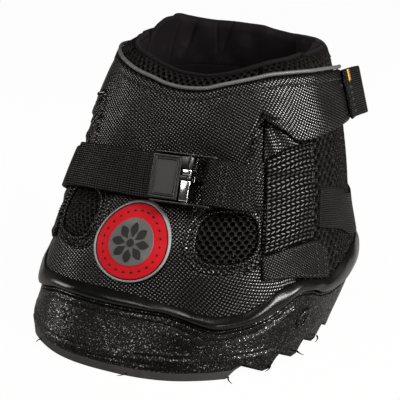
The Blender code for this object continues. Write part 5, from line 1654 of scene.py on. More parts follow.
@dataclass
class Collar:
    """The padded collars: the smooth rear one, and the front one with its mesh face and its rolled rim."""

    base: float = 0.1123
    inner: float = -0.0081
    lap: float = -0.0041
    face: float = -0.0002
    side_rows: int = 26
    rim_rows: int = 22
    net_rows: int = 40
    bead: float = 0.0011

    def profile(self, angle: Array, rim: Array, inside: Array, outside: Array, plump: float) -> tuple[Array, Array]:
        """A closed cross-section at each angle: up the outside, round the rim and down the inside.

        The sides are half circles at the rim, and bulge between rim and base as a sine.

        Args:
            angle: the angles.
            rim: the rim's level at each.
            inside: distance of the inner face.
            outside: distance of the outer face.
            plump: how far the sides bulge.

        Returns:
            Levels and distances, one row for each place on the section.
        """
        half, middle = (outside - inside) / 2, (outside + inside) / 2
        lift = np.minimum(half * 1.05, (rim - self.base) * 0.45)
        side = np.linspace(0, 1, self.side_rows)[:, None]
        turn = np.radians(np.linspace(0, 180, self.rim_rows))[1:-1, None]
        up_level = self.base + (rim - lift - self.base) * side
        levels = np.concatenate([up_level, rim - lift + lift * np.sin(turn), up_level[::-1]])
        up_out = middle + half + plump * np.sin(np.pi * side) ** 0.8
        down_out = middle - half - plump * np.sin(np.pi * side[::-1]) ** 0.8
        return levels + 0 * angle, np.concatenate([up_out, middle + half * np.cos(turn), down_out]) + 0 * angle

    def build(self) -> None:
        """Makes the three lengths of the front collar and the rear collar."""
        self.rear()
        self.front("collar_front", -SHIELD_END, SHIELD_END, Body.SHIELD, ("front_collar",))
        for side in Side:
            nodes = f"arm_collar_{side.word}", f"collar_lap_{side.word}"
            self.front(f"collar_arm_{side.word}", *side.span(ARM_START, ARM_END), side.arm, nodes)

    def closed_band(self, name: str, angle: Array, level: Array, out: Array, taper: float) -> Object:
        """A band round the boot whose section is a closed loop, drawn in round at both its ends.

        Args:
            name: the piece's name.
            angle: angles along the band.
            level: levels, a row for each place of the section.
            out: distances, likewise.
            taper: the length over which the ends draw in, as a quarter circle.

        Returns:
            The object.
        """
        points = FORM.point(angle, level, out)
        runs = walked(points[0])
        draw_in = rounded(np.minimum(runs, runs[-1] - runs), taper, 0.0004)
        centre = points.mean(axis=0, keepdims=True)
        points = centre + (points - centre) * draw_in[None, :, None]
        obj = make_mesh(name, points, grid_quads(*points.shape[:2], ring=True), cloth_map(points))
        close_ends(obj)
        return obj

    def front(self, name: str, first: float, last: float, body: Body, nodes: tuple[str, ...]) -> None:
        """One length of the front collar: mesh outside, a rolled rim, and smooth cloth inside.

        Args:
            name: the piece's name.
            first: the angle that it starts at.
            last: the angle that it ends at.
            body: the shield or an arm.
            nodes: the padded nodes that it takes the place of.
        """

        def depth(angle: Array) -> Array:
            """Distance of the inner face, which steps out where the collar laps the rear one."""
            lapped = smooth_step(np.abs(angle), LAP_START - 2.5, LAP_START - 1)
            return self.inner + (self.lap - self.inner) * lapped

        angle = np.linspace(first, last, int(abs(last - first) * 3.4))
        rim = FRONT_RIM(angle) - 0.0012
        level, out = self.profile(angle, rim, depth(angle), np.full_like(angle, self.face), 0.0)
        outer = np.arange(len(level))[:, None] < self.net_rows
        swell = smooth_step(level, 0.122, 0.130) * smooth_step(level, rim, rim - 0.004)
        section = np.cumsum(np.abs(np.diff(level[:, 0])) + np.abs(np.diff(out[:, 0])))
        lengths = np.radians(angle)[None] * COLLAR_RADIUS + 0 * level, np.append(0.0, section)[:, None] + 0 * level
        holes = hole_relief(*lengths, 0.0043, 0.00130, 0.0022, 0.9) * smooth_step(level, 0.114, 0.116) * outer
        out = out + outer * 0.0010 * swell + holes + ~outer * waves(*lengths, 17, 10, 0.02) * 0.0004
        obj = self.closed_band(name, angle, level, out, 0.0015)
        # Painted shade in the mesh's holes.
        mark_pit_shade(obj, np.clip(-holes / 0.0009, 0, 1) ** 1.3)
        dress(obj, "collar_mesh", "mesh", "lycra")
        second_finish(obj, self.inner_side)
        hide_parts(*nodes)
        follow(obj, body)
        angle = np.linspace(first, last, int(abs(last - first) * 2))
        path = FORM.point(angle, FRONT_RIM(angle) - 0.0009, depth(angle) / 2 * 1.35)
        follow(dress(tube(f"{name}_bead", path, self.bead, 12), "lycra", "lycra"), body)

    def inner_side(self, points: Array) -> Array:
        """Whether places lie on the inner half of the front collar.

        Args:
            points: the places.

        Returns:
            True or false for each.
        """
        centre = FORM.outline(points[:, 2])[0]
        angle = np.degrees(np.arctan2(points[:, 0], -(points[:, 1] - centre)))
        outer = FORM.point(angle, points[:, 2], -0.0062)
        return np.hypot(points[:, 0], points[:, 1] - centre) < np.hypot(outer[:, 0], outer[:, 1] - centre)

    def rear(self) -> None:
        """The rear collar: plump smooth cloth with leaning creases, each a bell, where it bends."""
        angle = np.linspace(85, 275, 420)
        lapped = smooth_step(np.abs(signed(angle)), ARM_END + 2, ARM_END + 0.4)
        outside = self.face + (self.lap - GAP) * lapped
        level, out = self.profile(angle, REAR_RIM(angle), np.full_like(angle, self.inner), outside, 0.0004)
        inner = np.arange(len(level))[:, None] >= len(level) // 2
        crease = np.zeros_like(level)
        for place, depth, width, lean in (
            (205.0, 0.0016, 1.3, 260), (212.0, 0.0010, 1.0, -200), (150.0, 0.0009, 1.6, 120),
            (128.0, 0.0010, 1.5, -90), (168.0, 0.0006, 2.2, 60), (232.0, 0.0012, 1.6, 150),
            (246.0, 0.0009, 1.3, -120),
        ):
            crease = crease + depth * bump(angle[None] + (level - 0.126) * lean, place, width)
        uneven = waves(np.radians(angle)[None] * COLLAR_RADIUS + 0 * level, level, 19, 12, 0.022) * 0.0005
        relief = np.where(inner, crease * 0.6 + uneven, -crease * 0.4 + uneven * 0.6)
        obj = self.closed_band("collar_rear", angle, level, out + relief * smooth_step(level, 0.113, 0.118), 0.0025)
        settle(dress(obj, "lycra", "lycra"), Body.BOOT, "rear_collar", "collar_under_right", "collar_under_left")


@dataclass
class Shield:
    """The coated shield with its wrap arms, its bound edge and its grey piping."""

    thickness: float = 0.0020
    low: float = 0.600 * HEIGHT
    fold: float = 0.706 * HEIGHT
    rise_angles: tuple[float, float] = (60.0, 80.0)
    pad: float = 0.0009
    pad_levels: tuple[float, float] = (0.728 * HEIGHT, 0.800 * HEIGHT)
    joint: float = (SHIELD_END + ARM_START) / 2
    binding: float = 0.0043
    root: float = 46.5

    def inner(self, angle: Array, _level: Array | None = None) -> Array:
        """Distance of the inner face: an arm rises over the pads that it closes on."""
        return GAP + 2 * (self.pad + GAP) * through((0, *self.rise_angles, 180), (0, 0, 1, 1), np.abs(angle))

    def top(self, angle: Array) -> Array:
        """Distance of the outer face, less what a stitch sinks into it."""
        return self.inner(angle) + self.thickness - 0.0001

    def relief(self, angle: Array, level: Array) -> Array:
        """Folds of the shield: a groove along the bound edge, soft waves, and creases towards each arm's root.

        Args:
            angle: degrees round the boot.
            level: height above the floor.

        Returns:
            Distances out.
        """
        size, below = np.abs(angle), PIPING(angle) - level
        groove = 0.0004 * smooth_step(below, 0.0046, 0.0040) - 0.0004 * bump(below, self.binding, 0.0005)
        relief = groove + soft(23, 12, 0.030, 0.0004)(angle, level) * smooth_step(below, 0.002, 0.012)
        near = smooth_step(size, 37, 43) * smooth_step(size, 60, 50)
        for slope, depth, width in ((0.0013, 0.0012, 0.0010), (0.0022, 0.0014, 0.0011), (0.0033, 0.0014, 0.0013)):
            line = 0.1145 + (size - self.root) * slope * np.where(size < self.root, 1.0, -0.28)
            relief = relief + near * depth * (bump(level, line, width) - 0.6 * bump(level, line - 0.0024, width))
        return relief

    def cloth(self, name: str, first: float, last: float, low: LineFunction, butts: tuple[float, ...]) -> Object:
        """A panel of the shield's cloth up to the piping.

        Args:
            name: the piece's name.
            first: the angle that it starts at.
            last: the angle that it ends at.
            low: its lower edge.
            butts: the angles at which it meets the next panel.

        Returns:
            The panel, dressed.
        """
        sizes = self.inner, self.thickness, self.relief
        panel = Panel(name, first, last, low, PIPING, *sizes, edge=0.0010, butts=butts)
        return dress(panel.build(), "coated_weave", "shield_cloth")

    def build(self) -> None:
        """Makes the shield, the arms, their piping, pads and pull tabs."""
        joins = -self.joint, self.joint
        front = self.cloth("shield_cloth", *joins, level_line(self.low), joins)
        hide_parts("front_shield", "shield_base")
        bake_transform(front)
        self.piping("piping_front", -SHIELD_END, SHIELD_END, Body.SHIELD, "shield_piping")
        for side in Side:
            self.arm(side)

    def piping(self, name: str, first: float, last: float, body: Body, node: str) -> None:
        """The piping along the top edge, and the stitches of the binding below it.

        Args:
            name: the piping's name.
            first: the angle that it starts at.
            last: the angle that it ends at.
            body: the shield or an arm.
            node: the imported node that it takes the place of.
        """
        angle = np.linspace(first, last, int(abs(last - first) * 3))
        path = FORM.point(angle, PIPING(angle) + 0.0014, self.inner(angle) + 0.00150)
        cord = dress(tube(name, path, 0.0010, 14), "piping", "piping")
        row = seam(f"{name}_stitches", angle, PIPING(angle) - self.binding, self.top(angle))
        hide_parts(node)
        for piece in (cord, dress(row, "coated_weave", "thread")):
            follow(piece, body)

    def arm(self, side: Side) -> None:
        """One wrap arm with its piping, its pads and its pull tab.

        Args:
            side: the side.
        """
        word, joins = side.word, (side.value * self.joint, side.value * ARM_END)
        first, last = side.span(self.joint, ARM_END)
        panel = self.cloth(f"arm_cloth_{word}", first, last, ARM_LOW, joins[:1])
        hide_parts(f"closure_arm_{word}")
        follow(panel, side.arm)
        self.piping(f"piping_arm_{word}", first, last, side.arm, f"arm_piping_{word}")
        area = *side.span(88.0, 109.0), *map(level_line, self.pad_levels)

        def over(angle: Array, _level: Array) -> Array:
            """Distance of the hook pad's inner face, under the arm."""
            return self.inner(angle) - GAP - self.pad

        for pile, inner, body in (("loop", GAP, Body.BOOT), ("hook", over, side.arm)):
            pad = Panel(f"{pile}_pile_{word}", *area, inner, self.pad, step=0.0012, edge=0.0004)
            pad.sew("hook_and_loop", "fleece", f"{pile}_pad_{word}", body)
        self.arm_stitches(side)
        PullTab(side, self).build()

    def arm_stitches(self, side: Side) -> None:
        """Stitch rows along the arm's lower edge and end, and the dense bars at its root.

        Args:
            side: the side.
        """
        sign = side.value
        angle = sign * np.linspace(49, 110, 90)
        runs = [(angle, ARM_LOW(angle) + rise, STITCH) for rise in (0.0024, 0.0048)]
        for size in (103.5, 105.6):
            level = np.linspace(float(ARM_LOW(size)) + 0.003, float(PIPING(size)) - 0.006, 30)
            runs.append((np.full(30, sign * size), level, STITCH))
        corners = ((48.6, 0.1140), (56.0, 0.1105), (49.2, 0.1095), (48.6, 0.1140))
        for (a0, z0), (a1, z1) in zip(corners, corners[1:]):
            runs.append((sign * np.linspace(a0, a1, 12), np.linspace(z0, z1, 12), 0.0014))
        rows = [seam("row", along, up, self.top(along), length) for along, up, length in runs]
        follow(sew_rows(f"arm_stitches_{side.word}", rows, "coated_weave"), side.arm)


@dataclass
class PullTab:
    """The doubled webbing at an arm's end, with its small woven tag on the right."""

    side: Side
    shield: Shield
    overlap: float = 0.0060
    length: float = 0.0190
    width: float = 0.0250
    webbing: float = 0.0016
    fold: float = 0.0006
    seat: float = 0.0005
    flare: float = 0.0062
    band: float = 0.0015
    tag_length: float = 0.006

    def matrix(self) -> Matrix:
        """The frame at the middle of the arm's end, whose first axis points past the end.

        Returns:
            The frame as a matrix.
        """
        angle = self.side.value * ARM_END
        out = float(self.shield.inner(angle)) + self.shield.thickness
        matrix = FORM.frame(angle, float((PIPING(angle) + ARM_LOW(angle)) / 2), out, True)
        return matrix @ Matrix.Diagonal((self.side.value, 1, 1, 1))

    def place(self, spots: Array) -> Array:
        """Takes spots along, across and out to the boot's frame: lifted as a parabola past the arm's end.

        Args:
            spots: the spots.

        Returns:
            Points of the boot.
        """
        lift = self.flare * (np.clip(spots[..., 0], 0, None) / self.length) ** 2
        return carry(self.matrix(), np.stack([spots[..., 0], spots[..., 1], spots[..., 2] + lift], -1))

    def build(self) -> None:
        """Makes the tab, folded back in a half circle, its stitches and, on the right, the tag."""
        radius, top = self.fold + self.webbing / 2, self.seat + self.webbing
        centre = (self.length - self.fold - self.webbing, self.seat - self.fold)
        path = [(x, self.seat + self.webbing / 2) for x in np.linspace(-self.overlap, centre[0], 16)[:-1]]
        path += arc(centre, radius, 90, -90, 15).tolist()
        path += [(x, centre[1] - radius) for x in np.linspace(centre[0], 2 * self.seat, 12)[1:]]
        tab = ribbon(f"tab_webbing_{self.side.word}", np.array(path), self.width, self.webbing, self.place)
        settle(dress(tab, "webbing", "webbing"), self.side.arm, f"pull_tab_{self.side.word}")
        rows, reach = [], self.width / 2 - 0.0015
        way = np.broadcast_to(np.array(self.matrix())[:3, 2], (12, 3))
        for x in (0.0030, 0.0052):
            spots = np.stack([np.full(12, x), np.linspace(-reach, reach, 12), np.full(12, top)], -1)
            rows.append(stitch_row("row", self.place(spots), way))
        settle(sew_rows(f"tab_stitches_{self.side.word}", rows, "webbing"), self.side.arm)
        if self.side is Side.RIGHT:
            self.tag()

    def tag(self) -> None:
        """The woven tag: three narrow bands of coloured thread, lying on the webbing at its edge."""
        pieces, out = [], self.seat + self.webbing + GAP + 0.0003
        for number, finish in enumerate(("tag_yellow", "tag_green", "tag_red")):
            start = self.seat + number * self.band
            path = np.array([(start, out), (start + self.band / 2, out + 0.00012), (start + self.band, out)])

            def lay(spots: Array) -> Array:
                """Spots moved across to the webbing's edge."""
                return self.place(spots + (0, self.width / 2 - self.tag_length / 2, 0))

            pieces.append(paint(ribbon(f"tag_{number}", path, self.tag_length, 0.0006, lay), finish))
        settle(dress(merge("tag_bands", pieces), "tag_thread"), self.side.arm, "side_tag")


def arc(centre: tuple[float, float], radius: float, first: float, last: float, count: int) -> Array:
    """Places on an arc, in degrees from the first axis towards the second."""
    turns = np.radians(np.linspace(first, last, count))
    return np.stack([centre[0] + radius * np.cos(turns), centre[1] + radius * np.sin(turns)], -1)


def ribbon(
    name: str, path: Array, width: float, thickness: float, place: Callable[[Array], Array],
    relief: float = 0.00008, cup: float = 0.0,
) -> Object:
    """Webbing along a flat path, with rounded selvedges and faint cross ribs.

    Its section is a slab whose edges are half circles, and its ribs are a sine along the path.

    Args:
        name: the object's name.
        path: places along and out.
        width: the webbing's width.
        thickness: its thickness.
        place: takes spots along, across and out to the boot's frame.
        relief: the ribs' height.
        cup: how far its middle stands out past its edges, as a parabola.

    Returns:
        The object.
    """
    rows, rib_length = 34, 0.0021
    runs, half = walked(path), thickness / 2
    spots = np.linspace(0, runs[-1], max(4, int(runs[-1] / 0.0007)))
    run = np.stack([np.interp(spots, runs, path[:, k]) for k in range(2)], -1)
    ahead = unit(np.gradient(run, axis=0))
    square = np.stack([-ahead[:, 1], ahead[:, 0]], -1)
    reach = width / 2 - half
    across = np.linspace(-reach, reach, rows)
    edge = arc((reach, 0.0), half, 90, -90, 9)[1:-1]
    section = np.concatenate([
        np.stack([across, np.full(rows, half)], -1), edge,
        np.stack([across[::-1], np.full(rows, -half)], -1), edge[::-1] * (-1, 1),
    ])
    out = section[None, :, 1] * (1 + (relief / half) * np.sin(spots * 2 * np.pi / rib_length)[:, None])
    grid = run[:, None] + square[:, None] * out[..., None]
    wide = section[None, :, 0] + 0 * out
    points = place(np.stack([grid[..., 0], wide, grid[..., 1] + cup * (1 - (2 * wide / width) ** 2)], -1))
    cloth = np.stack(np.broadcast_arrays(spots[:, None], walked(section)[None]), -1)
    obj = make_mesh(name, points, grid_quads(len(spots), len(section), True), cloth)
    close_ends(obj)
    return obj


@dataclass
class Strap:
    """The strap, flat through its buckle and lying on the skin beyond it."""

    width: float = 0.0225
    webbing: float = 0.0016
    bar: float = 0.0012
    length: float = 0.0300
    angle: float = 15.1
    pin_setback: float = 0.0030
    clamp_setback: float = 0.0040
    knuckle: float = 0.0024
    lever_length: float = 0.0148
    lever_thickness: float = 0.0020
    lever_ease: float = 0.0008
    cheek: float = 0.0008
    block_width: float = 0.0048
    block_rise: float = 0.0020
    under: float = 0.0035
    drop: float = 0.0100
    step: float = 0.0015
    cup: float = 0.00025

    def __post_init__(self) -> None:
        """Walks the strap's line and works out its distances out of the skin."""
        self.angles = np.arange(-100.0, 100.5, 0.5)
        runs = walked(FORM.point(self.angles, STRAP_CENTRE(self.angles)))
        self.runs = runs - np.interp(self.angle, self.angles, runs)
        self.middle = self.under + self.webbing / 2
        self.tail_middle = self.middle + self.webbing + GAP
        self.turn = self.bar + GAP + self.webbing / 2
        self.clamp_out = self.middle + self.turn
        self.upper = self.clamp_out + self.turn
        self.lever_under = self.upper + self.webbing / 2 + GAP
        self.pin = self.pin_setback, self.lever_under + self.lever_thickness - self.knuckle - GAP
        self.end_bar = self.length / 2 - self.bar
        self.lever_end = self.pin_setback - np.hypot(self.block_width / 2, self.block_rise)
        self.inner_half = self.width / 2 + GAP
        self.tail_start = self.lever_end - self.lever_length - 0.0042
        self.matrix = FORM.frame(self.angle, float(STRAP_CENTRE(self.angle)))

    def place(self, spots: Array) -> Array:
        """Takes spots along, across and out to the boot's frame: flat at the buckle, lying down beyond it.

        Args:
            spots: the spots.

        Returns:
            Points of the boot.
        """
        run, across, out = spots[..., 0], spots[..., 1], spots[..., 2]
        angle = np.interp(run, self.runs, self.angles)
        level = STRAP_CENTRE(angle)
        _, up, way, _, _ = FORM.directions(angle, level)
        lying = FORM.point(angle, level) + way * out[..., None] + up * across[..., None]
        start = self.length / 2 + self.webbing
        share = through((0, start, start + 0.0160), (1, 1, 0), np.abs(run))[..., None]
        return carry(self.matrix, spots) * share + lying * (1 - share)

    def run_at(self, angle: float) -> float:
        """Run along the strap from the buckle's middle at an angle."""
        return float(np.interp(angle, self.angles, self.runs))

    def upper_out(self, run: Array) -> Array:
        """Distance out of the strap's upper part, which comes down to the lower part past the lever."""
        start, down = -self.length / 2, self.tail_middle
        return through((-1, start - self.drop, start, 0), (down, down, self.upper - GAP, self.upper), run)

    def doubled_out(self, run: Array) -> Array:
        """Distance out of the doubled webbing's upper part, which comes down past the end bar."""
        return through((self.end_bar, self.end_bar + self.drop), (self.upper, self.tail_middle), run)

    def turned(self, lower: Array, bar: float, upper: Array, out: Array) -> Array:
        """A path in along the lower part, in a half circle round a bar and back along the upper part.

        Args:
            lower: runs along the lower part.
            bar: the bar's run.
            upper: runs along the upper part.
            out: its distances out.

        Returns:
            Places along and out.
        """
        half = arc((0.0, 0.0), self.turn, -90, 90, 25) * (np.sign(bar - lower[0]), 1) + (bar, self.clamp_out)
        flat = np.stack([lower, np.full_like(lower, self.middle)], -1)
        return np.concatenate([flat, half, np.stack([upper, out], -1)])

    def build(self) -> None:
        """Makes the three lengths of webbing and their stitches."""
        bar = -self.clamp_setback
        upper = np.append(np.arange(bar, self.tail_start, -self.step)[1:], self.tail_start)
        lower = np.arange(self.run_at(-92.0), bar, self.step)
        path = self.turned(lower, bar, upper, self.upper_out(upper))
        main = ribbon("strap_main", path, self.width, self.webbing, self.place, cup=self.cup)
        settle(dress(main, "webbing", "webbing"), Body.BOOT, "strap_webbing")
        run = np.arange(self.tail_start, self.run_at(-46.5), -self.step)
        out = self.upper_out(run) + 0.0012 * smooth_step(run, run[-1] + 0.008, run[-1])
        tail = ribbon("strap_end", np.stack([run, out], -1), self.width, self.webbing, self.place, cup=self.cup)
        settle(dress(tail, "webbing", "webbing"), Body.TAIL, "strap_tail")
        end = self.run_at(44.0)
        upper = np.arange(self.end_bar, end, self.step)[1:]
        path = self.turned(np.arange(end, self.end_bar, -self.step), self.end_bar, upper, self.doubled_out(upper))
        doubled = ribbon("strap_doubled", path, self.width, self.webbing, self.place, 0.00016)
        settle(dress(doubled, "webbing", "rough_webbing"), Body.BOOT, "strap_anchor")
        rows, reach = [], self.width / 2 - 0.0014
        for run in (self.end_bar + 0.0052, self.end_bar + 0.0076, end - 0.0022, end - 0.0044):
            run = np.full(14, run)
            spots = np.stack([run, np.linspace(-reach, reach, 14), self.doubled_out(run) + self.webbing / 2], -1)
            above = self.place(spots + (0, 0, 0.001)) - self.place(spots)
            rows.append(stitch_row("row", self.place(spots), unit(above)))
        settle(sew_rows("strap_stitches", rows, "webbing"), Body.BOOT)


@dataclass
class Buckle:
    """The lever buckle: two cheeks with an end bar, a pin with knuckles, and a lever with a sunk panel."""

    strap: Strap
    sharp: float = 40.0
    panel_inset: float = 0.0026
    block_base: float = 0.0018

    def build(self) -> None:
        """Makes the buckle's pieces."""
        self.lever()
        self.frame_bars()
        self.block()

    def drawn(self, name: str, outline: Array, start: float, end: float, bevel: float) -> Object:
        """An outline, along and out, drawn across the strap and given rounded edges.

        Args:
            name: the object's name.
            outline: the outline's places.
            start: where it starts across.
            end: where it ends.
            bevel: how far its edges are rounded.

        Returns:
            The object.
        """
        count = len(outline)
        ring = np.arange(count)
        low, high = (np.insert(outline, 1, across, axis=1) for across in (start, end))
        faces = [tuple(range(count)), tuple(reversed(range(count, 2 * count)))]
        faces += np.stack([ring, (ring + 1) % count, count + (ring + 1) % count, count + ring], -1).tolist()
        mesh = bpy.data.meshes.new(name)
        mesh.from_pydata(np.concatenate([low, high]).tolist(), [], faces)
        with opened(mesh) as shape:
            bmesh.ops.recalc_face_normals(shape, faces=shape.faces)
            if bevel:
                edges = [edge for edge in shape.edges if edge.calc_face_angle(0) > radians(50)]
                bmesh.ops.bevel(
                    shape, geom=edges, offset=bevel, segments=3, profile=0.5, affect="EDGES", clamp_overlap=True,
                )
        mesh.transform(self.strap.matrix)
        shade(mesh, self.sharp)
        return show(name, mesh)

    def joined(self, name: str, pieces: Sequence[Object]) -> Object:
        """One metal piece from several, shaded like them.

        Args:
            name: its name.
            pieces: what it is joined from.

        Returns:
            The joined piece.
        """
        obj = merge(name, pieces)
        shade(obj.data, self.sharp)
        return obj

    def spans(self) -> tuple[list[tuple[float, float]], list[tuple[float, float]]]:
        """Places across of the knuckles, each a share of the strap's half width.

        Returns:
            The steel knuckles' ends, then the lever's.
        """
        places = [share * self.strap.width / 2 for share in (-0.96, -0.06, 0.16, 0.42, 0.96)]
        steel = [(places[0], places[1]), (places[2], places[3])]
        return steel, [(places[1] + GAP, places[2] - GAP), (places[3] + GAP, places[4])]

    def lever(self) -> None:
        """The lever: a plate with rounded edges and a sunk panel inside a stepped frame, and its knuckles."""
        strap = self.strap
        reach, root = strap.inner_half - strap.lever_ease, strap.lever_end - strap.lever_thickness
        left, right = strap.lever_end - strap.lever_length, strap.lever_end
        under, top = strap.lever_under, strap.lever_under + strap.lever_thickness

        def border(along: Array, across: Array) -> Array:
            """Distance to the plate's nearest edge."""
            return np.minimum(np.minimum(along - left, right - along), reach - np.abs(across))

        along, across = np.meshgrid(np.linspace(left, right, 130), np.linspace(-reach, reach, 200))
        gap = border(along, across)
        height = top - 0.0005 * (1 - rounded(gap, 0.0006)) - 0.0003 * bump(gap, 0.0013, 0.00022)
        height = height - 0.0006 * smooth_step(gap, 0.0023, self.panel_inset) + 0.00015 * bump(gap, 0.0021, 0.0002)
        outer, inner = (
            carry(strap.matrix, np.stack([along, across, out], -1)) for out in (height, np.full_like(along, under))
        )
        plate = shell("lever_plate", outer, inner, np.stack([along, across], -1), sharp=60)
        paint(plate, "lever", "lever_panel")
        inverse = strap.matrix.inverted()

        def panel(places: Array) -> Array:
            """Whether places lie on the sunk panel."""
            spots = carry(inverse, places)
            return (border(spots[:, 0], spots[:, 1]) > self.panel_inset) & (spots[:, 2] > under + 0.0005)

        second_finish(plate, panel)
        outline = np.concatenate([
            [(root, under + GAP)], arc(strap.pin, strap.knuckle, 195, 465, 40), [(root, top - 0.0006)],
        ])
        pieces = [plate]
        for number, span in enumerate(self.spans()[1]):
            pieces.append(paint(self.drawn(f"lever_knuckle_{number}", outline, *span, 0.0002), "lever"))
        settle(dress(self.joined("lever_cover", pieces), "black_metal"), Body.LEVER, "buckle_lever")

    def frame_bars(self) -> None:
        """The two cheeks with the end bar, the pin and the clamp bar."""
        strap = self.strap
        inner, outer = strap.inner_half, strap.inner_half + strap.cheek
        end_bar, clamp = (strap.end_bar, strap.clamp_out), (-strap.clamp_setback, strap.clamp_out)
        left, cheek_top = -strap.length / 2, strap.lever_under + strap.lever_thickness / 2
        foot = 180 - np.degrees(np.arcsin((cheek_top - strap.pin[1]) / strap.knuckle))
        outline = np.concatenate([
            [(left + strap.bar, strap.under), (end_bar[0], end_bar[1] - strap.knuckle)],
            arc(end_bar, strap.knuckle, -60, 75, 24),
            arc(strap.pin, strap.knuckle, 20, foot, 24),
            [(left + strap.bar, cheek_top), (left, cheek_top - strap.bar), (left, strap.under + strap.bar)],
        ])
        cheeks = self.joined("buckle_cheeks", [
            self.drawn("cheek_low", outline, -outer, -inner, 0.00025),
            self.drawn("cheek_high", outline, inner, outer, 0.00025),
            self.drawn("end_rod", arc(end_bar, strap.bar, 0, 345, 24), -inner, inner, 0),
        ])
        settle(dress(cheeks, "black_metal", "lever"), Body.BOOT, "buckle_frame")
        reach, bevel = outer + 0.0002, 0.0002
        for name, centre, node in (("pin_rod", strap.pin, "buckle_pin"), ("clamp_rod", clamp, "clamp_bar")):
            rod = self.drawn(name, arc(centre, strap.bar, 0, 348, 30), -reach, reach, bevel)
            settle(dress(rod, "black_metal", "lever"), Body.BOOT, node)

    def block(self) -> None:
        """The polished block with its knuckles round the pin."""
        strap = self.strap
        reach, low, high = strap.inner_half - GAP, strap.under, strap.under + self.block_base

        def oblong(bottom: float, top: float) -> Array:
            """The corners of an oblong as wide as the block, between two distances out."""
            left, right = strap.pin[0] - strap.block_width / 2, strap.pin[0] + strap.block_width / 2
            return np.array([(left, bottom), (right, bottom), (right, top), (left, top)])

        knuckle = oblong(high - 0.0009, strap.pin[1] + strap.block_rise)
        pieces = [self.drawn("block_base", oblong(low, high), -reach, reach, 0.0003)]
        for number, span in enumerate(self.spans()[0]):
            pieces.append(self.drawn(f"block_knuckle_{number}", knuckle, *span, 0.0005))
        settle(dress(self.joined("hinge_steel", pieces), "polished_steel", "steel"), Body.BOOT, "hinge_block")


@dataclass
class Badge:
    """The round rubber patch: a grey rim, a sewn groove, a red ring of studs and a grey disc with a plain rosette."""

    angle: float = -2.3
    level: float = 0.398 * HEIGHT
    radius: float = 0.0206
    thickness: float = 0.0018
    rings: int = 240
    columns: int = 360
    petals: int = 8
    groove: float = 0.935

    def place(self, share: Array, turn: Array, out: Array) -> Array:
        """Points of the patch, in round coordinates.

        Args:
            share: shares of the radius.
            turn: turns in radians.
            out: distances out.

        Returns:
            Points of the boot.
        """
        per_degree, climb = FORM.scales(self.angle, self.level)
        x, y = share * self.radius * np.cos(turn), share * self.radius * np.sin(turn)
        return FORM.point(self.angle + x / per_degree, self.level + y * climb, GAP + out)

    def relief(self, share: Array, turn: Array) -> Array:
        """Height of the patch: its rim, its groove, its disc and its rosette, each with a rounded edge.

        Args:
            share: shares of the radius.
            turn: turns in radians.

        Returns:
            Heights.
        """
        rim = 0.0005 * smooth_step(share, 0.945, 0.960) * rounded(1 - share, 0.04)
        groove = -0.0004 * bump(share, self.groove, 0.012)
        disc = 0.0004 * smooth_step(share, 0.60, 0.58)
        return self.thickness - 0.0005 + rim + groove + disc + 0.00045 * self.rosette(share, turn)

    def rosette(self, share: Array, turn: Array) -> Array:
        """One inside the rosette and nothing outside: pointed petals, each a sine outwards, round a small disc.

        Args:
            share: shares of the radius.
            turn: turns in radians.

        Returns:
            The rosette's height.
        """
        fold = np.abs(np.mod(turn * self.petals / (2 * np.pi), 1) - 0.5) * 2
        petal = np.sin(np.pi * np.clip((share - 0.13) / 0.37, 0, 1)) * 0.80
        inside = smooth_step(petal - (1 - fold), -0.03, 0.03) * (share > 0.14) * (share < 0.50)
        return np.maximum(inside, smooth_step(share, 0.105, 0.095))

    def build(self) -> None:
        """Makes the patch, whose faces are told apart by their share of the radius and their turn, and its studs."""
        share = np.concatenate([np.linspace(0.004, 1, self.rings), [1.0]])[:, None]
        turn = full_turn(self.columns)[None]
        height = self.relief(share, turn)
        height[-1] = 0.0
        points = np.concatenate([self.place(share, turn, height), self.place(0.0, turn, 0.0)])
        flat = np.stack([share * self.radius * np.cos(turn), share * self.radius * np.sin(turn)], -1)
        cloth = np.concatenate([flat, np.zeros((1, self.columns, 2))])
        obj = make_mesh("round_patch", points, grid_quads(len(points), self.columns, True), cloth, 60)
        close_ends(obj)
        dress(obj, "badge_rubber", "badge_rim", "badge_dark", "badge_red", "badge_grey")
        middle = np.append((share[:-1, 0] + share[1:, 0]) / 2, 1.0)[:, None]
        turn = turn + np.pi / self.columns
        rows = np.select([middle < 0.59, middle < 0.920, middle < 0.950], [3, 2, 1], 0)
        rows = np.where((self.rosette(middle, turn) > 0.5) & (middle < 0.59), 1, rows)
        index = np.full(len(obj.data.polygons), 1, np.int32)
        index[: rows.size] = rows.ravel()
        obj.data.polygons.foreach_set("material_index", index)
        settle(obj, Body.BOOT, "badge")
        self.studs()

    def studs(self) -> None:
        """Small raised dashes on the red ring and fine stitches in the groove."""
        pieces = []
        for name, share, count, size in (
            ("ring_dashes", 0.76, 24, (0.0011, 0.0006, 0.0003)),
            ("groove_stitches", self.groove, 64, (0.0007, 0.00024, 0.00025)),
        ):
            turn = full_turn(count)
            height = self.relief(np.full(count, share), turn)
            places = self.place(share, turn, height)
            ahead = self.place(share, turn + 0.01, height) - places
            above = self.place(share, turn, height + 0.001) - places
            pieces.append(paint(beads(name, places, unit(ahead), unit(above), size), "badge_dark"))
        settle(dress(merge("patch_dashes", pieces), "badge_rubber"), Body.BOOT)


def bearing(azimuth: float, rise: float) -> Vector:
    """The direction at an angle round the boot from its toe and an angle above the floor."""
    turn, lift = radians(azimuth), radians(rise)
    return Vector((np.sin(turn) * np.cos(lift), -np.cos(turn) * np.cos(lift), np.sin(lift)))


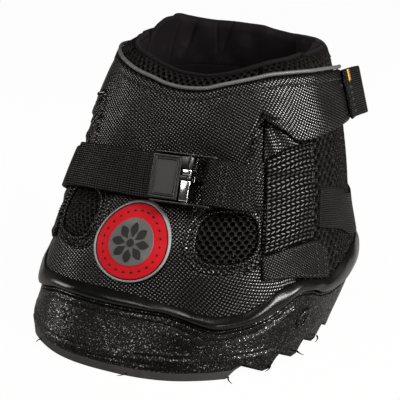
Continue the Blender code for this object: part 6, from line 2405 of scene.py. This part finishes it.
@dataclass
class Studio:
    """The pale floor, the lamps and the camera at the photograph's angle."""

    azimuth: float = 29.1
    elevation: float = 19.4
    distance: float = 0.85
    target: tuple[float, float, float] = (0.0, 0.005, 0.065)
    lens: float = 149.2
    shift: tuple[float, float] = (0.00825, -0.027)
    reach: float = 6.0
    lamp_distance: float = 1.1
    lamp_target: tuple[float, float, float] = (0.0, 0.0, 0.07)
    lamp_colour: tuple[float, float, float] = (1.0, 0.955, 0.925)

    def build(self) -> None:
        """Sets the floor, the world, the lamps and the camera."""
        scene = bpy.context.scene
        scene.view_settings.view_transform = "Standard"
        self.floor()
        self.world()
        self.lamps()
        data = bpy.data.cameras.new("studio_camera")
        data.lens, data.sensor_width = self.lens, 36.0
        data.shift_x, data.shift_y = self.shift
        scene.camera = show("studio_camera", data)
        away = bearing(self.azimuth, self.elevation)
        self.aim(scene.camera, Vector(self.target) + away * self.distance, -away)

    def aim(self, obj: Object, place: Vector, way: Vector) -> None:
        """Puts a lamp or the camera at a place, looking along a direction."""
        obj.location = place
        obj.rotation_euler = way.to_track_quat("-Z", "Y").to_euler()

    def floor(self) -> None:
        """A wide pale floor that keeps the boot's shadow."""
        mesh, reach = bpy.data.meshes.new("studio_floor"), self.reach
        corners = [(-reach, -reach, 0), (reach, -reach, 0), (reach, reach, 0), (-reach, reach, 0)]
        mesh.from_pydata(corners, [], [(0, 1, 2, 3)])
        material = bpy.data.materials.new("pale floor")
        material.use_nodes = True
        nodes, graph = material.node_tree.nodes, Graph(material.node_tree)
        shader = nodes["Principled BSDF"]
        graph.feed(shader, Base_Color=(0.5, 0.5, 0.5, 1), Roughness=0.9, Specular_IOR_Level=0.1)
        glow = graph.add("Emission", Strength=1.0)
        share = graph.times(graph.add("LightPath").outputs["Is Camera Ray"], 0.97)
        mix = graph.add("MixShader", n0=share, n1=shader.outputs[0], n2=glow.outputs[0])
        graph.feed(nodes["Material Output"], Surface=mix.outputs[0])
        mesh.materials.append(material)
        show("studio_floor", mesh)

    def world(self) -> None:
        """Soft light from all round, seen as white by the camera."""
        world = bpy.data.worlds.new("studio_world")
        bpy.context.scene.world = world
        world.use_nodes = True
        graph = Graph(world.node_tree)
        seen = graph.add("LightPath").outputs["Is Camera Ray"]
        back = world.node_tree.nodes["Background"]
        graph.feed(back, Color=(1, 1, 1, 1), Strength=graph.math("MULTIPLY_ADD", seen, 0.96, 0.04))

    def lamps(self) -> None:
        """Three lamps on the right for the cloth's glints, one high over the toe, and two on the left."""
        for name, azimuth, rise, size, power in (
            ("key_lamp", 84.0, 31.0, 0.30, 10.9),
            ("side_lamp", 104.0, 23.0, 0.30, 10.5),
            ("vamp_lamp", 46.0, 22.0, 0.24, 2.0),
            ("high_lamp", 8.0, 70.0, 0.45, 6.4),
            ("front_lamp", -26.0, 40.0, 0.36, 3.2),
            ("fill_lamp", -78.0, 20.0, 0.36, 3.4),
        ):
            data = bpy.data.lights.new(name, "AREA")
            data.shape, data.size, data.energy, data.color = "DISK", size, power, self.lamp_colour
            place = self.lamp_distance * bearing(azimuth, rise)
            self.aim(show(name, data), place, Vector(self.lamp_target) - place)


def plain_nodes(frame: dict) -> None:
    """Gives the lasting board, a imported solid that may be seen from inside, its finish.

    Args:
        frame: what the shared frame holds, with its nodes by name.
    """
    board = frame["nodes"]["lasting_board"]
    board.data.materials.clear()
    paint(board, "fleece")


def main() -> None:
    """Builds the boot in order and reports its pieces."""
    logging.basicConfig(level=logging.INFO, format="%(message)s")
    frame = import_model()
    for group in (weave_group, rib_group, grain_group):
        group()
    Studio().build()
    plain_nodes(frame)
    strap = Strap()
    for piece in (Sole(), Upper(), Collar(), Shield(), strap, Buckle(strap), Badge()):
        piece.build()
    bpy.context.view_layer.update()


if __name__ == "__main__":
    main()
